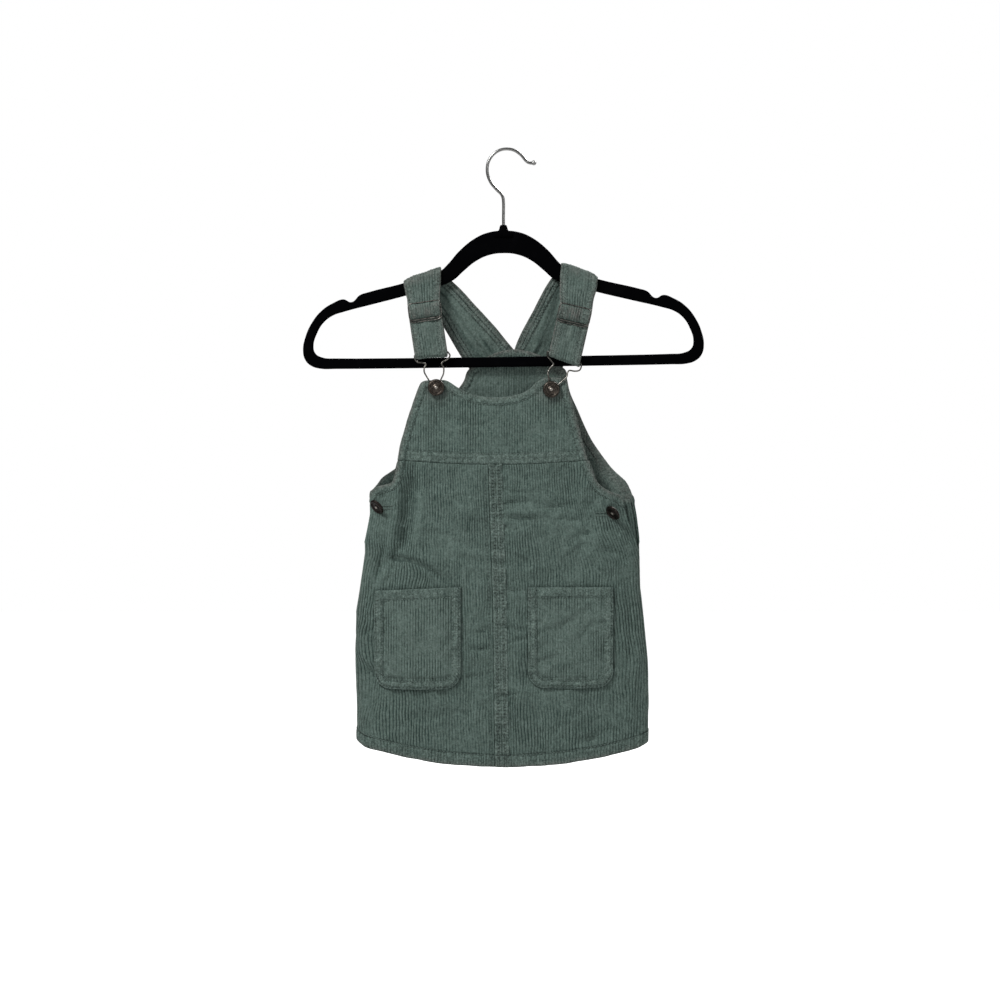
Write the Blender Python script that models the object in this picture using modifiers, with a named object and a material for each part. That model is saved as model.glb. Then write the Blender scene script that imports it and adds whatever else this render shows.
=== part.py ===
"""A child's corduroy pinafore dress on a flat hanger.

Metres, +Z up.  The front faces -Y and +X is to the right as it is looked at.
The origin is the inside top of the hanger's hook, on the line of its shaft.
Tables are in millimetres and are scaled by MM where they are read.
"""

import math

import bmesh
import bpy
from mathutils import Matrix, Vector

MM = 0.001

# ---------------------------------------------------------------- driving sizes
GAP = 0.3            # between sewn or seated pieces
WALL = 1.8           # one layer of corduroy
STRAP_T = 2.6        # a strap, folded double
SLACK = 0.2          # more room where a strap bends round a wire
BAND_RISE = 0.8      # the felled centre-front seam stands out by this
BAND_W = 12.7        # width of that felled band
HEM_W = 11.6         # turned hem
HEM_RISE = 0.7
EDGE_RISE = 0.6      # turned edges of bib and pocket tops
EDGE_W = 7.6
HANGER_T = 5.5
HANGER_ROUND = 2.2
TILT = 0.0139        # the hanger hangs tilted: rise per length towards +X
HOOK_D = 2.7
WIRE_D = 1.7         # wire of the sliders and clips
BUTTON_R = 7.5
BUTTON_T = 2.6
SHANK_R = 2.0
SECTION_POWER = 2.3  # 2 would make the dress's cross-section an ellipse
SIDE_RADIUS = 15.0   # of the section at its sides, where a gap is given as a turn
BAND_TUCK = 0.6      # the left panel's last column stands this far short of the band
POCKET_SAG = 1.6     # a pocket's foot hangs lower in its middle
OVERSHOOT = 5.0      # a cutter runs this far past the face that it opens

# ---------------------------------------------------------------- the dress's form
# height, left edge, right edge, depth of the front, depth of the back
FORM = (
    # z,     x_left, x_right, front, back
    (-170.0, -118.0, 114.0, 6.2, 5.8),
    (-195.0, -118.0, 114.0, 7.0, 6.4),
    (-220.0, -118.0, 114.0, 8.2, 8.2),
    (-250.0, -118.0, 114.0, 10.6, 11.0),
    (-280.0, -118.5, 114.0, 13.0, 13.4),
    (-304.0, -119.2, 114.8, 14.6, 14.8),
    (-327.0, -119.6, 119.4, 15.8, 15.6),
    (-345.0, -123.2, 121.6, 16.6, 16.0),
    (-352.0, -124.6, 122.0, 16.8, 16.2),
    (-360.0, -124.4, 122.2, 17.0, 16.4),
    (-391.6, -128.8, 123.0, 17.6, 16.8),
    (-413.0, -132.2, 125.4, 18.0, 17.0),
    (-456.0, -132.8, 129.6, 18.2, 17.2),
    (-490.0, -131.8, 130.6, 17.8, 17.0),
    (-535.0, -131.4, 129.6, 17.2, 16.4),
    (-556.0, -131.2, 129.2, 17.0, 16.2),
)

# The free upper edge of the front, from the left side to the right side.
FRONT_EDGE = (
    # x,     z
    (-121.0, -309.5),
    (-118.6, -304.6),
    (-112.7, -300.8),
    (-106.7, -299.4),
    (-100.0, -297.2),
    (-97.4, -291.5),
    (-95.4, -283.5),
    (-93.8, -272.0),
    (-91.3, -259.7),
    (-85.1, -238.3),
    (-79.7, -222.3),
    (-75.8, -212.0),
    (-73.6, -208.2),
    (-69.5, -206.4),
    (-60.0, -206.0),
    (-50.5, -206.6),
    (-40.2, -213.0),
    (-27.4, -218.9),
    (-11.1, -221.4),
    (8.9, -219.8),
    (21.7, -215.0),
    (29.0, -208.4),
    (36.1, -204.5),
    (45.0, -203.8),
    (53.0, -205.0),
    (56.8, -208.2),
    (59.4, -217.5),
    (64.6, -237.0),
    (70.3, -259.7),
    (74.9, -275.1),
    (80.4, -289.0),
    (85.4, -298.6),
    (94.0, -304.8),
    (104.0, -308.6),
    (107.5, -313.0),
)

# The free upper edge of the back.
BACK_EDGE = (
    # x,     z
    (-121.0, -306.0),
    (-113.4, -299.6),
    (-108.4, -292.6),
    (-101.5, -287.6),
    (-95.8, -283.0),
    (-87.0, -271.5),
    (-76.0, -255.0),
    (-63.0, -238.0),
    (-51.0, -225.0),
    (-40.5, -213.0),
    (-35.4, -205.5),
    (-31.8, -196.5),
    (-20.0, -187.4),
    (-5.0, -180.4),
    (9.4, -177.8),
    (24.0, -180.0),
    (40.0, -186.6),
    (55.0, -195.5),
    (57.0, -203.5),
    (60.1, -217.0),
    (66.4, -231.2),
    (72.6, -245.5),
    (79.7, -259.7),
    (89.5, -274.0),
    (94.2, -281.0),
    (101.0, -287.6),
    (109.0, -295.0),
    (112.6, -301.5),
    (116.0, -309.0),
)

# Where the front stops at the right, short of the side, down the button opening.
RIGHT_OPENING = (
    # z,     inset
    (-300.0, 8.5),
    (-316.0, 10.6),
    (-330.0, 9.0),
    (-345.0, 4.5),
    (-358.0, 0.9),
    (-366.0, 0.0),
)

CENTRE_FRONT = (
    # z,     x
    (-278.0, -7.4),
    (-404.0, -3.1),
    (-556.0, -1.0),
)

# The button stands: ends in height, and turns past the side seam, from back to front.
UNDERLAP_ENDS = {"left": (-309.0, -352.0), "right": (-312.0, -356.0)}
UNDERLAP_TURNS = (0.42, 0.2, 0.0, -0.16, -0.32, -0.46, -0.6)

# Largest soft folds: ridges (+) and troughs (-) standing out of the panel.
FRONT_FOLDS = (
    # x,     z,      along, across, lean,  rise
    (-88.0, -318.0, 34.0, 4.5, 4.0, -3.0),
    (-98.0, -322.0, 30.0, 6.0, 6.0, 2.2),
    (-76.0, -330.0, 36.0, 9.0, 2.0, 1.6),
    (-96.0, -372.0, 30.0, 8.0, -58.0, -1.5),
    (-100.0, -350.0, 24.0, 7.0, -40.0, 1.4),
    (-60.0, -368.0, 30.0, 9.0, 70.0, 1.1),
    (40.0, -318.0, 34.0, 4.0, 88.0, -1.1),
    (40.0, -327.0, 30.0, 5.0, 86.0, 0.9),
    (84.0, -345.0, 34.0, 8.0, 20.0, 1.6),
    (72.0, -352.0, 32.0, 8.0, 24.0, -1.3),
    (-14.0, -430.0, 60.0, 10.0, 3.0, -1.2),
    (108.0, -450.0, 60.0, 9.0, -3.0, 1.3),
    (5.0, -470.0, 55.0, 14.0, -4.0, 1.1),
    (-70.0, -508.0, 26.0, 16.0, 84.0, 1.2),
    (64.0, -506.0, 30.0, 15.0, 92.0, 1.1),
    (-30.0, -236.0, 28.0, 9.0, 84.0, -0.8),
    (-66.0, -250.0, 30.0, 10.0, -12.0, 1.0),
    (52.0, -250.0, 30.0, 10.0, 14.0, 1.0),
)
BACK_FOLDS = (
    # x,     z,      along, across, lean,  rise
    (12.0, -250.0, 34.0, 16.0, 88.0, -0.9),
    (-60.0, -330.0, 44.0, 9.0, 12.0, -2.0),
    (-74.0, -334.0, 40.0, 9.0, 10.0, 1.6),
    (64.0, -336.0, 42.0, 10.0, -12.0, -1.8),
    (80.0, -330.0, 40.0, 9.0, -10.0, 1.5),
    (6.0, -400.0, 80.0, 12.0, 2.0, 1.6),
    (-30.0, -470.0, 60.0, 12.0, 4.0, -1.6),
    (50.0, -470.0, 60.0, 13.0, -3.0, -1.4),
    (-96.0, -450.0, 60.0, 12.0, -4.0, 1.3),
    (98.0, -450.0, 60.0, 12.0, 4.0, 1.3),
)

# Patch pockets: middle, half width, top, bottom, corner radius, rise of the right end.
POCKETS = {
    "pocket_left": {"x": -76.4, "half": 38.6, "top": -392.4, "bottom": -481.6,
                    "corner": 14.0, "slope": 0.045},
    "pocket_right": {"x": 59.6, "half": 37.8, "top": -390.8, "bottom": -480.6,
                     "corner": 14.0, "slope": 0.0},
}

POCKET_SHARES = (0.0, 0.09, 0.1, 0.24, 0.4, 0.56, 0.72, 0.86, 1.0)

# ---------------------------------------------------------------- straps and trim
# Each strap's inner and outer edge, from its sewn end on the back up to the fold
# over the hanger's arm.
STRAP_BACK = {
    "left": (
        # xi,    zi,     xo,    zo,     y
        (9.0, -178.6, -5.0, -220.0, 7.8),
        (1.3, -169.6, -19.5, -208.0, 7.5),
        (-7.6, -158.6, -30.6, -194.0, 7.0),
        (-17.4, -147.8, -40.2, -179.5, 6.2),
        (-27.2, -137.2, -49.5, -163.8, 5.5),
        (-36.1, -127.2, -58.5, -149.5, 5.0),
        (-44.5, -119.0, -69.0, -136.6, 4.7),
        (-51.5, -113.2, -80.0, -127.0, 4.6),
    ),
    "right": (
        # xi,    zi,     xo,    zo,     y
        (10.2, -178.6, 24.0, -222.0, 7.8),
        (12.6, -172.5, 40.0, -208.0, 7.5),
        (17.0, -163.0, 54.6, -190.0, 7.0),
        (22.4, -152.8, 60.0, -171.0, 6.2),
        (28.0, -142.4, 64.0, -156.0, 5.5),
        (33.4, -131.6, 67.4, -142.6, 5.0),
        (38.8, -121.6, 71.0, -131.4, 4.7),
        (45.0, -112.6, 77.0, -122.8, 4.6),
    ),
}
# The ruling on which the strap turns over the arm: inner end, outer end.
STRAP_FOLD = {
    "left": {"inner": (-56.4, -105.3), "outer": (-88.4, -116.8)},
    "right": {"inner": (52.0, -100.4), "outer": (83.4, -112.8)},
}
FOLD_RADIUS = 4.6
# Below the fold, down the front.
STRAP_FRONT = {
    "left": (
        # xi,    zi,     xo,    zo,     y
        (-56.6, -120.5, -87.0, -128.5, -4.7),
        (-57.1, -128.5, -85.6, -133.6, -5.7),
    ),
    "right": (
        # xi,    zi,     xo,    zo,     y
        (51.0, -116.5, 82.6, -125.0, -4.7),
        (50.7, -127.5, 80.0, -134.2, -5.7),
    ),
}
# The slider's frame: middle of the top wire and of the bottom wire, and lean.
SLIDER = {
    "left": {"top": (-71.1, -136.5), "bottom": (-69.3, -151.4), "lean": 8.2},
    "right": {"top": (64.9, -140.2), "bottom": (61.6, -154.6), "lean": -13.5},
}
SLIDER_HALF = 15.9
SLIDER_Y = -10.0
SLIDER_EXTRA = 2.3     # the bottom wire lies double, this far apart
# How the strap weaves over the slider: share of the way down it, share of its reach.
SLIDER_WEAVE = ((0.0, 1.0), (0.25, 0.35), (0.5, -1.0), (0.75, 0.35), (1.0, 1.0))
SEWN_BELOW = -174.0    # the straps lie on the back's outside below this height
STRAP_HALF = 14.2
CLIP_ROOM = 1.75       # from a strap's edge to the middle of the clip's side wire
# The clip's bar, inside the strap's lower loop: middle and lean.
LOOP = {
    "left": {"mid": (-63.6, -182.4), "lean": 6.4},
    "right": {"mid": (54.3, -186.0), "lean": -20.0},
}
LOOP_Y = -6.85
LOOP_RADIUS = 2.6

# The clips' free wire from the strap's outer edge, round the button's shank to the
# inner edge.
CLIP_OUTER = {
    "left": ((-79.1, -187.0), (-76.6, -190.0), (-71.6, -190.7), (-69.3, -192.4), (-70.6, -194.8),
             (-70.6, -199.2), (-67.6, -204.6)),
    "right": ((69.4, -194.6), (67.6, -197.5), (63.6, -198.2), (59.0, -197.6), (57.2, -199.6),
              (56.2, -203.6), (51.8, -207.8)),
}
CLIP_INNER = {
    "left": ((-56.2, -206.6), (-53.6, -200.6), (-53.4, -194.8), (-55.2, -191.9), (-54.2, -189.8),
             (-49.6, -187.2), (-47.8, -183.9)),
    "right": ((40.4, -206.4), (39.7, -200.0), (41.4, -195.6), (44.6, -191.8), (42.2, -188.2),
              (39.4, -184.8)),
}
BIB_BUTTONS = {"left": (-60.1, -212.9), "right": (42.6, -214.6)}
SIDE_BUTTONS = {"left": (-112.0, -320.0), "right": (96.2, -325.7)}
CLIP_LOOP_R = 3.5

# ---------------------------------------------------------------- the hanger
# Half outlines, from the middle outwards; both halves are the same.
HANGER_OUTER = (
    # x,    z
    (0.0, -71.9),
    (13.0, -73.2),
    (24.5, -77.8),
    (39.0, -89.0),
    (50.0, -101.4),
    (56.0, -106.9),
    (64.0, -110.2),
    (90.0, -117.8),
    (122.0, -125.6),
    (128.5, -127.7),
    (136.2, -134.0),
    (143.4, -131.4),
    (152.0, -134.3),
    (163.0, -141.4),
    (172.0, -152.6),
    (177.6, -165.2),
    (179.6, -176.7),
    (177.6, -185.3),
    (172.4, -190.6),
    (164.5, -193.2),
    (150.0, -193.7),
)
HANGER_INNER = (
    # x,    z
    (0.0, -92.0),
    (13.0, -93.6),
    (25.0, -99.0),
    (36.0, -107.8),
    (45.0, -115.6),
    (55.7, -120.1),
    (87.5, -128.9),
    (118.0, -136.4),
    (143.0, -142.6),
    (153.0, -145.9),
    (161.0, -151.9),
    (166.6, -160.6),
    (170.2, -173.4),
    (168.4, -179.6),
    (162.0, -183.3),
    (150.0, -184.3),
)
# The neck flares into the arch; front and back it is cut flat at this depth.
NECK = (
    # z,    radius
    (-66.8, 2.4),
    (-69.4, 2.9),
    (-72.4, 4.5),
    (-75.0, 7.5),
)
NECK_DEPTH = 3.8
BORE_BOTTOM = -76.3
# The hook's centre line, from its seat in the neck up and round to its tip.
HOOK_LINE = (
    # x,    z
    (0.0, -76.0), (0.0, -60.0), (0.0, -46.0), (-1.4, -40.0), (-6.3, -34.8), (-10.8, -29.5),
    (-13.7, -23.2), (-14.6, -17.0), (-13.6, -10.4), (-9.9, -4.3), (-3.6, 0.2), (3.6, 1.35),
    (10.4, -0.2), (16.2, -4.4), (20.2, -9.2), (23.6, -11.2), (27.2, -11.1),
)
HOOK_TIP_R = 2.2

COLOURS = {
    # name:      red, green, blue, roughness, metallic
    "corduroy": (0.092, 0.132, 0.115, 0.9, 0.0),
    "flock": (0.006, 0.006, 0.007, 0.95, 0.0),
    "steel": (0.55, 0.55, 0.54, 0.25, 1.0),
    "dark_wire": (0.10, 0.09, 0.075, 0.4, 1.0),
    "bronze": (0.075, 0.05, 0.035, 0.42, 1.0),
}


# ================================================================ small helpers
def clear_scene():
    for obj in list(bpy.data.objects):
        bpy.data.objects.remove(obj, do_unlink=True)


def material(name):
    red, green, blue, roughness, metallic = COLOURS[name]
    mat = bpy.data.materials.get(name) or bpy.data.materials.new(name)
    mat.use_nodes = True
    shader = mat.node_tree.nodes["Principled BSDF"]
    shader.inputs["Base Color"].default_value = (red, green, blue, 1.0)
    shader.inputs["Roughness"].default_value = roughness
    shader.inputs["Metallic"].default_value = metallic
    return mat


def collection(name):
    found = bpy.data.collections.new(name)
    bpy.context.scene.collection.children.link(found)
    return found


def between(table, key, column):
    """Read one column of a table at a key, straight between its rows."""
    rows = sorted(table)
    if key <= rows[0][0]:
        return rows[0][column]
    for low, high in zip(rows, rows[1:]):
        if key <= high[0]:
            share = (key - low[0]) / (high[0] - low[0])
            return low[column] + share * (high[column] - low[column])
    return rows[-1][column]


def smooth_line(points, steps):
    """A Catmull-Rom curve through the points, with so many steps a span."""
    line = []
    count = len(points)
    for i in range(count - 1):
        before = points[max(i - 1, 0)]
        start, end = points[i], points[i + 1]
        after = points[min(i + 2, count - 1)]
        for k in range(steps):
            t = k / steps
            line.append(tuple(
                0.5 * (2 * b + (c - a) * t + (2 * a - 5 * b + 4 * c - d) * t * t
                       + (3 * b - a - 3 * c + d) * t ** 3)
                for a, b, c, d in zip(before, start, end, after)))
    line.append(tuple(points[-1]))
    return line


def add_object(name, mesh, mat, parts):
    obj = bpy.data.objects.new(name, mesh)
    obj.data.materials.clear()
    obj.data.materials.append(material(mat))
    parts.objects.link(obj)
    return obj


def grid_mesh(name, rows):
    """A mesh from rows of points in millimetres; every row has as many points."""
    mesh = bpy.data.meshes.new(name)
    build = bmesh.new()
    verts = [[build.verts.new(Vector(p) * MM) for p in row] for row in rows]
    for upper, lower in zip(verts, verts[1:]):
        for j in range(len(upper) - 1):
            build.faces.new((upper[j], lower[j], lower[j + 1], upper[j + 1]))
    build.to_mesh(mesh)
    build.free()
    mesh.shade_smooth()
    return mesh


def cloth(name, rows, thickness, offset, parts):
    """A cloth panel: an open surface, made a closed wall by Solidify."""
    obj = add_object(name, grid_mesh(name, rows), "corduroy", parts)
    wall = obj.modifiers.new("wall", "SOLIDIFY")
    wall.thickness = thickness * MM
    wall.offset = offset
    return obj


def wire(name, points, diameter, mat, parts, closed=False, resolution=2):
    """A round wire along the points."""
    curve = bpy.data.curves.new(name, "CURVE")
    curve.dimensions = "3D"
    curve.bevel_depth = diameter / 2 * MM
    curve.bevel_resolution = resolution
    curve.use_fill_caps = not closed
    spline = curve.splines.new("POLY")
    spline.points.add(len(points) - 1)
    for point, place in zip(spline.points, points):
        point.co = (place[0] * MM, place[1] * MM, place[2] * MM, 1.0)
    spline.use_cyclic_u = closed
    obj = bpy.data.objects.new(name, curve)
    curve.materials.append(material(mat))
    parts.objects.link(obj)
    return obj


def as_mesh(obj, parts):
    """The same object as a mesh whose caps are welded."""
    graph = bpy.context.evaluated_depsgraph_get()
    mesh = bpy.data.meshes.new_from_object(obj.evaluated_get(graph))
    weld = bmesh.new()
    weld.from_mesh(mesh)
    bmesh.ops.remove_doubles(weld, verts=weld.verts, dist=0.00001)
    bmesh.ops.recalc_face_normals(weld, faces=weld.faces)
    weld.to_mesh(mesh)
    weld.free()
    name, place = obj.name, obj.matrix_world.copy()
    bpy.data.objects.remove(obj, do_unlink=True)
    solid = bpy.data.objects.new(name, mesh)
    solid.matrix_world = place
    parts.objects.link(solid)
    return solid


def as_cutter(obj, cutters):
    for owner in list(obj.users_collection):
        owner.objects.unlink(obj)
    cutters.objects.link(obj)
    obj.hide_render = True
    obj.display_type = "WIRE"


def boolean(obj, other, operation):
    cut = obj.modifiers.new(operation.lower(), "BOOLEAN")
    cut.operation = operation
    cut.solver = "EXACT"
    cut.object = other


# ================================================================ the dress's surface
def form(z):
    left, right, front, back = (between(FORM, z, k) for k in (1, 2, 3, 4))
    return (left + right) / 2, (right - left) / 2, front, back


def turn_at(x, z):
    """The turn round the section, from the middle front, at which x is reached."""
    middle, half, _, _ = form(z)
    share = max(-1.0, min(1.0, (x - middle) / half))
    return math.copysign(math.asin(abs(share) ** (SECTION_POWER / 2)), share)


def fold_rise(folds, x, z):
    """Height of the soft folds at a place on a panel."""
    total = 0.0
    for fx, fz, along, across, lean, rise in folds:
        cos, sin = math.cos(math.radians(lean)), math.sin(math.radians(lean))
        dx, dz = x - fx, z - fz
        u = (dx * sin + dz * cos) / along
        v = (dx * cos - dz * sin) / across
        total += rise * math.exp(-u * u - v * v)
    return total


def bare_point(turn, z):
    """A place on the smooth section; turns past a quarter lie on the back."""
    middle, half, front, back = form(z)
    sin, cos = math.sin(turn), math.cos(turn)
    power = 2 / SECTION_POWER
    depth = front if cos >= 0 else back
    x = middle + half * math.copysign(abs(sin) ** power, sin)
    y = -depth * math.copysign(abs(cos) ** power, cos)
    return Vector((x, y, z))


def outward(turn, z):
    step = 0.02
    along = bare_point(turn + step, z) - bare_point(turn - step, z)
    down = bare_point(turn, z - 2.0) - bare_point(turn, z + 2.0)
    return down.cross(along).normalized()


def dress_point(turn, z, rise=0.0):
    """A place on the dress with its folds, moved out by rise."""
    place = bare_point(turn, z)
    fade = min(1.0, abs(math.cos(turn)) * 2.5)
    folds = FRONT_FOLDS if math.cos(turn) >= 0 else BACK_FOLDS
    lift = rise + fade * fold_rise(folds, place.x, z)
    return place + outward(turn, z) * lift


def seam_z(x):
    """The waist seam sags a little in the middle."""
    return -277.9 - 3.4 * max(0.0, 1 - ((x + 8.0) / 78.0) ** 2)


def hem_z(x, side):
    """The hem's lower edge: lowest in the middle, rounded up at the side seams."""
    lowest = -551.0 if side == "front" else -549.0
    lift = 17.0 * (x / 123.8) ** 2
    corner = max(0.0, abs(x) - 118.0) / 13.0
    return lowest + lift + 4.0 * corner ** 2


def hem_rise(z, low):
    return HEM_RISE if z - low < HEM_W else 0.0


# ================================================================ cloth panels
def front_right_turn(z):
    """Where the front's right edge runs: short of the side down the opening."""
    inset = between(RIGHT_OPENING, z, 1)
    right = between(FORM, z, 2)
    if inset <= 0.05:
        return math.pi / 2
    return turn_at(right - inset, z)


def heights(top, low, count):
    """Rows from the top edge down, with a close pair where the hem begins."""
    hem = low + HEM_W
    rows = [top + (hem + 0.5 - top) * k / (count - 1) for k in range(count)]
    return rows + [hem - 0.3, (hem + low) / 2, low]


def column_top(turn_of, edge, below_seam):
    """The top of a column: on the free edge, or at the waist seam."""
    z = -300.0
    for _ in range(6):
        x = bare_point(turn_of(z), z).x
        free = between(edge, x, 1)
        z = min(free, seam_z(x) - GAP / 2) if below_seam else free
    return z


def skirt_rows(turn_at_share, shares, edge, side, rows, rise_at):
    """Grid rows for a skirt panel; turn_at_share(share, z) gives each column's turn."""
    columns = []
    for share in shares:
        top = column_top(lambda z: turn_at_share(share, z), edge, True)
        low = hem_z(bare_point(turn_at_share(share, NEAR_HEM), NEAR_HEM).x, side)
        column = []
        for z in heights(top, low, rows):
            rise = hem_rise(z, low) + rise_at(share)
            column.append(dress_point(turn_at_share(share, z), z, rise))
        columns.append(column)
    return [list(row) for row in zip(*columns)]


SIDE_TURN = math.pi / 2
SIDE_GAP = GAP / 2 / SIDE_RADIUS
SKIRT_ROWS = 18
NEAR_HEM = -545.0    # height at which a column's place across the hem is read
RIM_SHARE = 0.006    # a narrow last strip, so that a side's rim faces its neighbour


def make_front_skirt_left(parts):
    def band_x(z, share):
        return between(CENTRE_FRONT, z, 1) + (share - 0.5) * BAND_W

    def turn(share, z):
        if share > 1.0:
            return turn_at(band_x(z, share - 1.0), z)
        start = -SIDE_TURN + SIDE_GAP
        end = turn_at(band_x(z, 0.0) - BAND_TUCK, z)
        return start + (end - start) * share

    shares = [0.0, RIM_SHARE] + [k / 14 for k in range(1, 15)] + [1.0001, 1.5, 2.0]
    # The band's own columns stand out by its rise.
    rows = skirt_rows(turn, shares, FRONT_EDGE, "front", SKIRT_ROWS,
                      lambda share: BAND_RISE if share > 1.0 else 0.0)
    return cloth("front_skirt_left", rows, WALL, -1, parts)


def make_front_skirt_right(parts):
    def turn(share, z):
        start = turn_at(between(CENTRE_FRONT, z, 1) + BAND_W / 2 + GAP, z)
        end = front_right_turn(z) - SIDE_GAP
        return start + (end - start) * share

    shares = [k / 14 for k in range(14)] + [1.0 - RIM_SHARE, 1.0]
    rows = skirt_rows(turn, shares, FRONT_EDGE, "front", SKIRT_ROWS, lambda share: 0.0)
    return cloth("front_skirt_right", rows, WALL, -1, parts)


def make_back_skirt(parts):
    def turn(share, z):
        start, end = SIDE_TURN + SIDE_GAP, 3 * SIDE_TURN - SIDE_GAP
        return start + (end - start) * share

    shares = [0.0, RIM_SHARE] + [k / 26 for k in range(1, 26)] + [1.0 - RIM_SHARE, 1.0]
    rows = skirt_rows(turn, shares, BACK_EDGE, "back", SKIRT_ROWS - 3, lambda share: 0.0)
    return cloth("back_skirt", rows, WALL, -1, parts)


BIB_ROWS = 9
BIB_EASE = 1.3       # a bib's rows lie closer near its free edge
WIDEST_COLUMN = 9.5


def bib_rows(xs, edge, on_back):
    """Grid rows for a bib: columns from the free edge down to the waist seam."""
    columns = []
    for x in xs:
        top = between(edge, x, 1)
        low = seam_z(x) + GAP / 2
        column = []
        for k in range(BIB_ROWS):
            share = k / (BIB_ROWS - 1)
            z = top + (low - top) * share ** BIB_EASE
            turn = turn_at(x, z)
            if on_back:
                turn = math.pi - turn
            rise = EDGE_RISE if top - z < EDGE_W else 0.0
            column.append(dress_point(turn, z, rise))
        columns.append(column)
    if on_back:
        columns.reverse()
    return [list(row) for row in zip(*columns)]


def edge_columns(edge, first, last):
    """A column at each of the edge's own points, and one between those that lie wide."""
    inner = [row[0] for row in edge if first < row[0] < last]
    xs = [first] + inner + [last]
    filled = []
    for a, b in zip(xs, xs[1:]):
        filled.append(a)
        if b - a > WIDEST_COLUMN:
            filled.append((a + b) / 2)
    return filled + [last]


def make_front_bib(parts):
    xs = edge_columns(FRONT_EDGE, -94.4, 75.3)
    rows = bib_rows(xs, FRONT_EDGE, on_back=False)
    return cloth("front_bib", rows, WALL, -1, parts)


def make_back_bib(parts):
    xs = edge_columns(BACK_EDGE, -91.2, 91.4)
    rows = bib_rows(xs, BACK_EDGE, on_back=True)
    return cloth("back_bib", rows, WALL, -1, parts)


def make_pocket(name, parts):
    """A patch pocket from the front's points, moved out by the wall and the gap."""
    size = POCKETS[name]
    half, corner = size["half"], size["corner"]
    straight = half - corner
    xs = [-straight - corner * math.sin(math.radians(a)) for a in (88, 66, 44, 22)]
    xs += [straight * k for k in (-1.0, -0.5, 0.0, 0.5, 1.0)]
    xs += [straight + corner * math.sin(math.radians(a)) for a in (22, 44, 66, 88)]
    columns = []
    for dx in xs:
        past = max(0.0, abs(dx) - straight)
        low = size["bottom"] + corner - math.sqrt(max(0.0, corner ** 2 - past ** 2))
        low -= POCKET_SAG * (1 - (dx / half) ** 2)
        top = size["top"] + size["slope"] * dx
        column = []
        for share in POCKET_SHARES:
            z = top + (low - top) * share
            rise = GAP + WALL + (EDGE_RISE if share < POCKET_SHARES[2] else 0.0)
            column.append(dress_point(turn_at(size["x"] + dx, z), z, rise))
        columns.append(column)
    rows = [list(row) for row in zip(*columns)]
    return cloth(name, rows, WALL, -1, parts)


def make_underlap(name, side, parts):
    """The button stand: from inside the back's edge round the side, under the front."""
    sign = -1 if side == "left" else 1
    top, low = UNDERLAP_ENDS[side]
    inside = -(WALL + GAP + SLACK * 2)
    rows = []
    for k in range(8):
        z = top + (low - top) * k / 7
        row = [dress_point(sign * (SIDE_TURN + turn), z, inside) for turn in UNDERLAP_TURNS]
        if side == "right":
            row.reverse()
        rows.append(row)
    return cloth(name, rows, WALL, -1, parts)


# ================================================================ straps
def ruling(mid, lean, half):
    """Both ends of a line across a strap: inner end first when half is signed so."""
    cos, sin = math.cos(math.radians(lean)), math.sin(math.radians(lean))
    return (mid[0] + half * cos, mid[1] + half * sin), (mid[0] - half * cos, mid[1] - half * sin)


def strap_stations(side):
    """Inner and outer edge and depth of each station, in order along the strap."""
    inner_sign = 1 if side == "left" else -1
    stations = [((xi, zi), (xo, zo), y) for xi, zi, xo, zo, y in STRAP_BACK[side]]
    fold = STRAP_FOLD[side]
    for k in range(7):
        angle = math.pi * k / 6
        drop = FOLD_RADIUS * (math.sin(angle) - 1)
        inner = (fold["inner"][0], fold["inner"][1] + drop)
        outer = (fold["outer"][0], fold["outer"][1] + drop)
        stations.append((inner, outer, FOLD_RADIUS * math.cos(angle)))
    stations += [((xi, zi), (xo, zo), y) for xi, zi, xo, zo, y in STRAP_FRONT[side]]

    slider = SLIDER[side]
    reach = WIRE_D / 2 + GAP + STRAP_T / 2 + SLACK
    for share, depth in SLIDER_WEAVE:
        mid = tuple(a + (b - a) * share for a, b in zip(slider["top"], slider["bottom"]))
        ends = ruling(mid, slider["lean"], inner_sign * STRAP_HALF)
        stations.append((ends[0], ends[1], SLIDER_Y + depth * reach))

    loop = LOOP[side]
    down = [b - a for a, b in zip(slider["bottom"], loop["mid"])]
    front_y, back_y = LOOP_Y - LOOP_RADIUS, LOOP_Y + LOOP_RADIUS

    def on_run(share, y):
        mid = tuple(a + d * share for a, d in zip(slider["bottom"], down))
        lean = slider["lean"] + (loop["lean"] - slider["lean"]) * share
        ends = ruling(mid, lean, inner_sign * STRAP_HALF)
        return ends[0], ends[1], y

    stations += [on_run(0.3, front_y + 0.5), on_run(0.65, front_y)]
    for k in range(7):
        angle = math.pi * k / 6
        mid = (loop["mid"][0], loop["mid"][1] - LOOP_RADIUS * math.sin(angle))
        ends = ruling(mid, loop["lean"], inner_sign * STRAP_HALF)
        stations.append((ends[0], ends[1], LOOP_Y - LOOP_RADIUS * math.cos(angle)))
    stations += [on_run(0.65, back_y), on_run(0.3, back_y), on_run(0.06, back_y - 0.05)]
    end_y = SLIDER_Y + reach
    for share, y in ((0.72, end_y + 1.4), (0.56, end_y)):
        mid = tuple(a + (b - a) * share for a, b in zip(slider["top"], slider["bottom"]))
        ends = ruling(mid, slider["lean"], inner_sign * STRAP_HALF)
        stations.append((ends[0], ends[1], y))
    return stations


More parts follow.
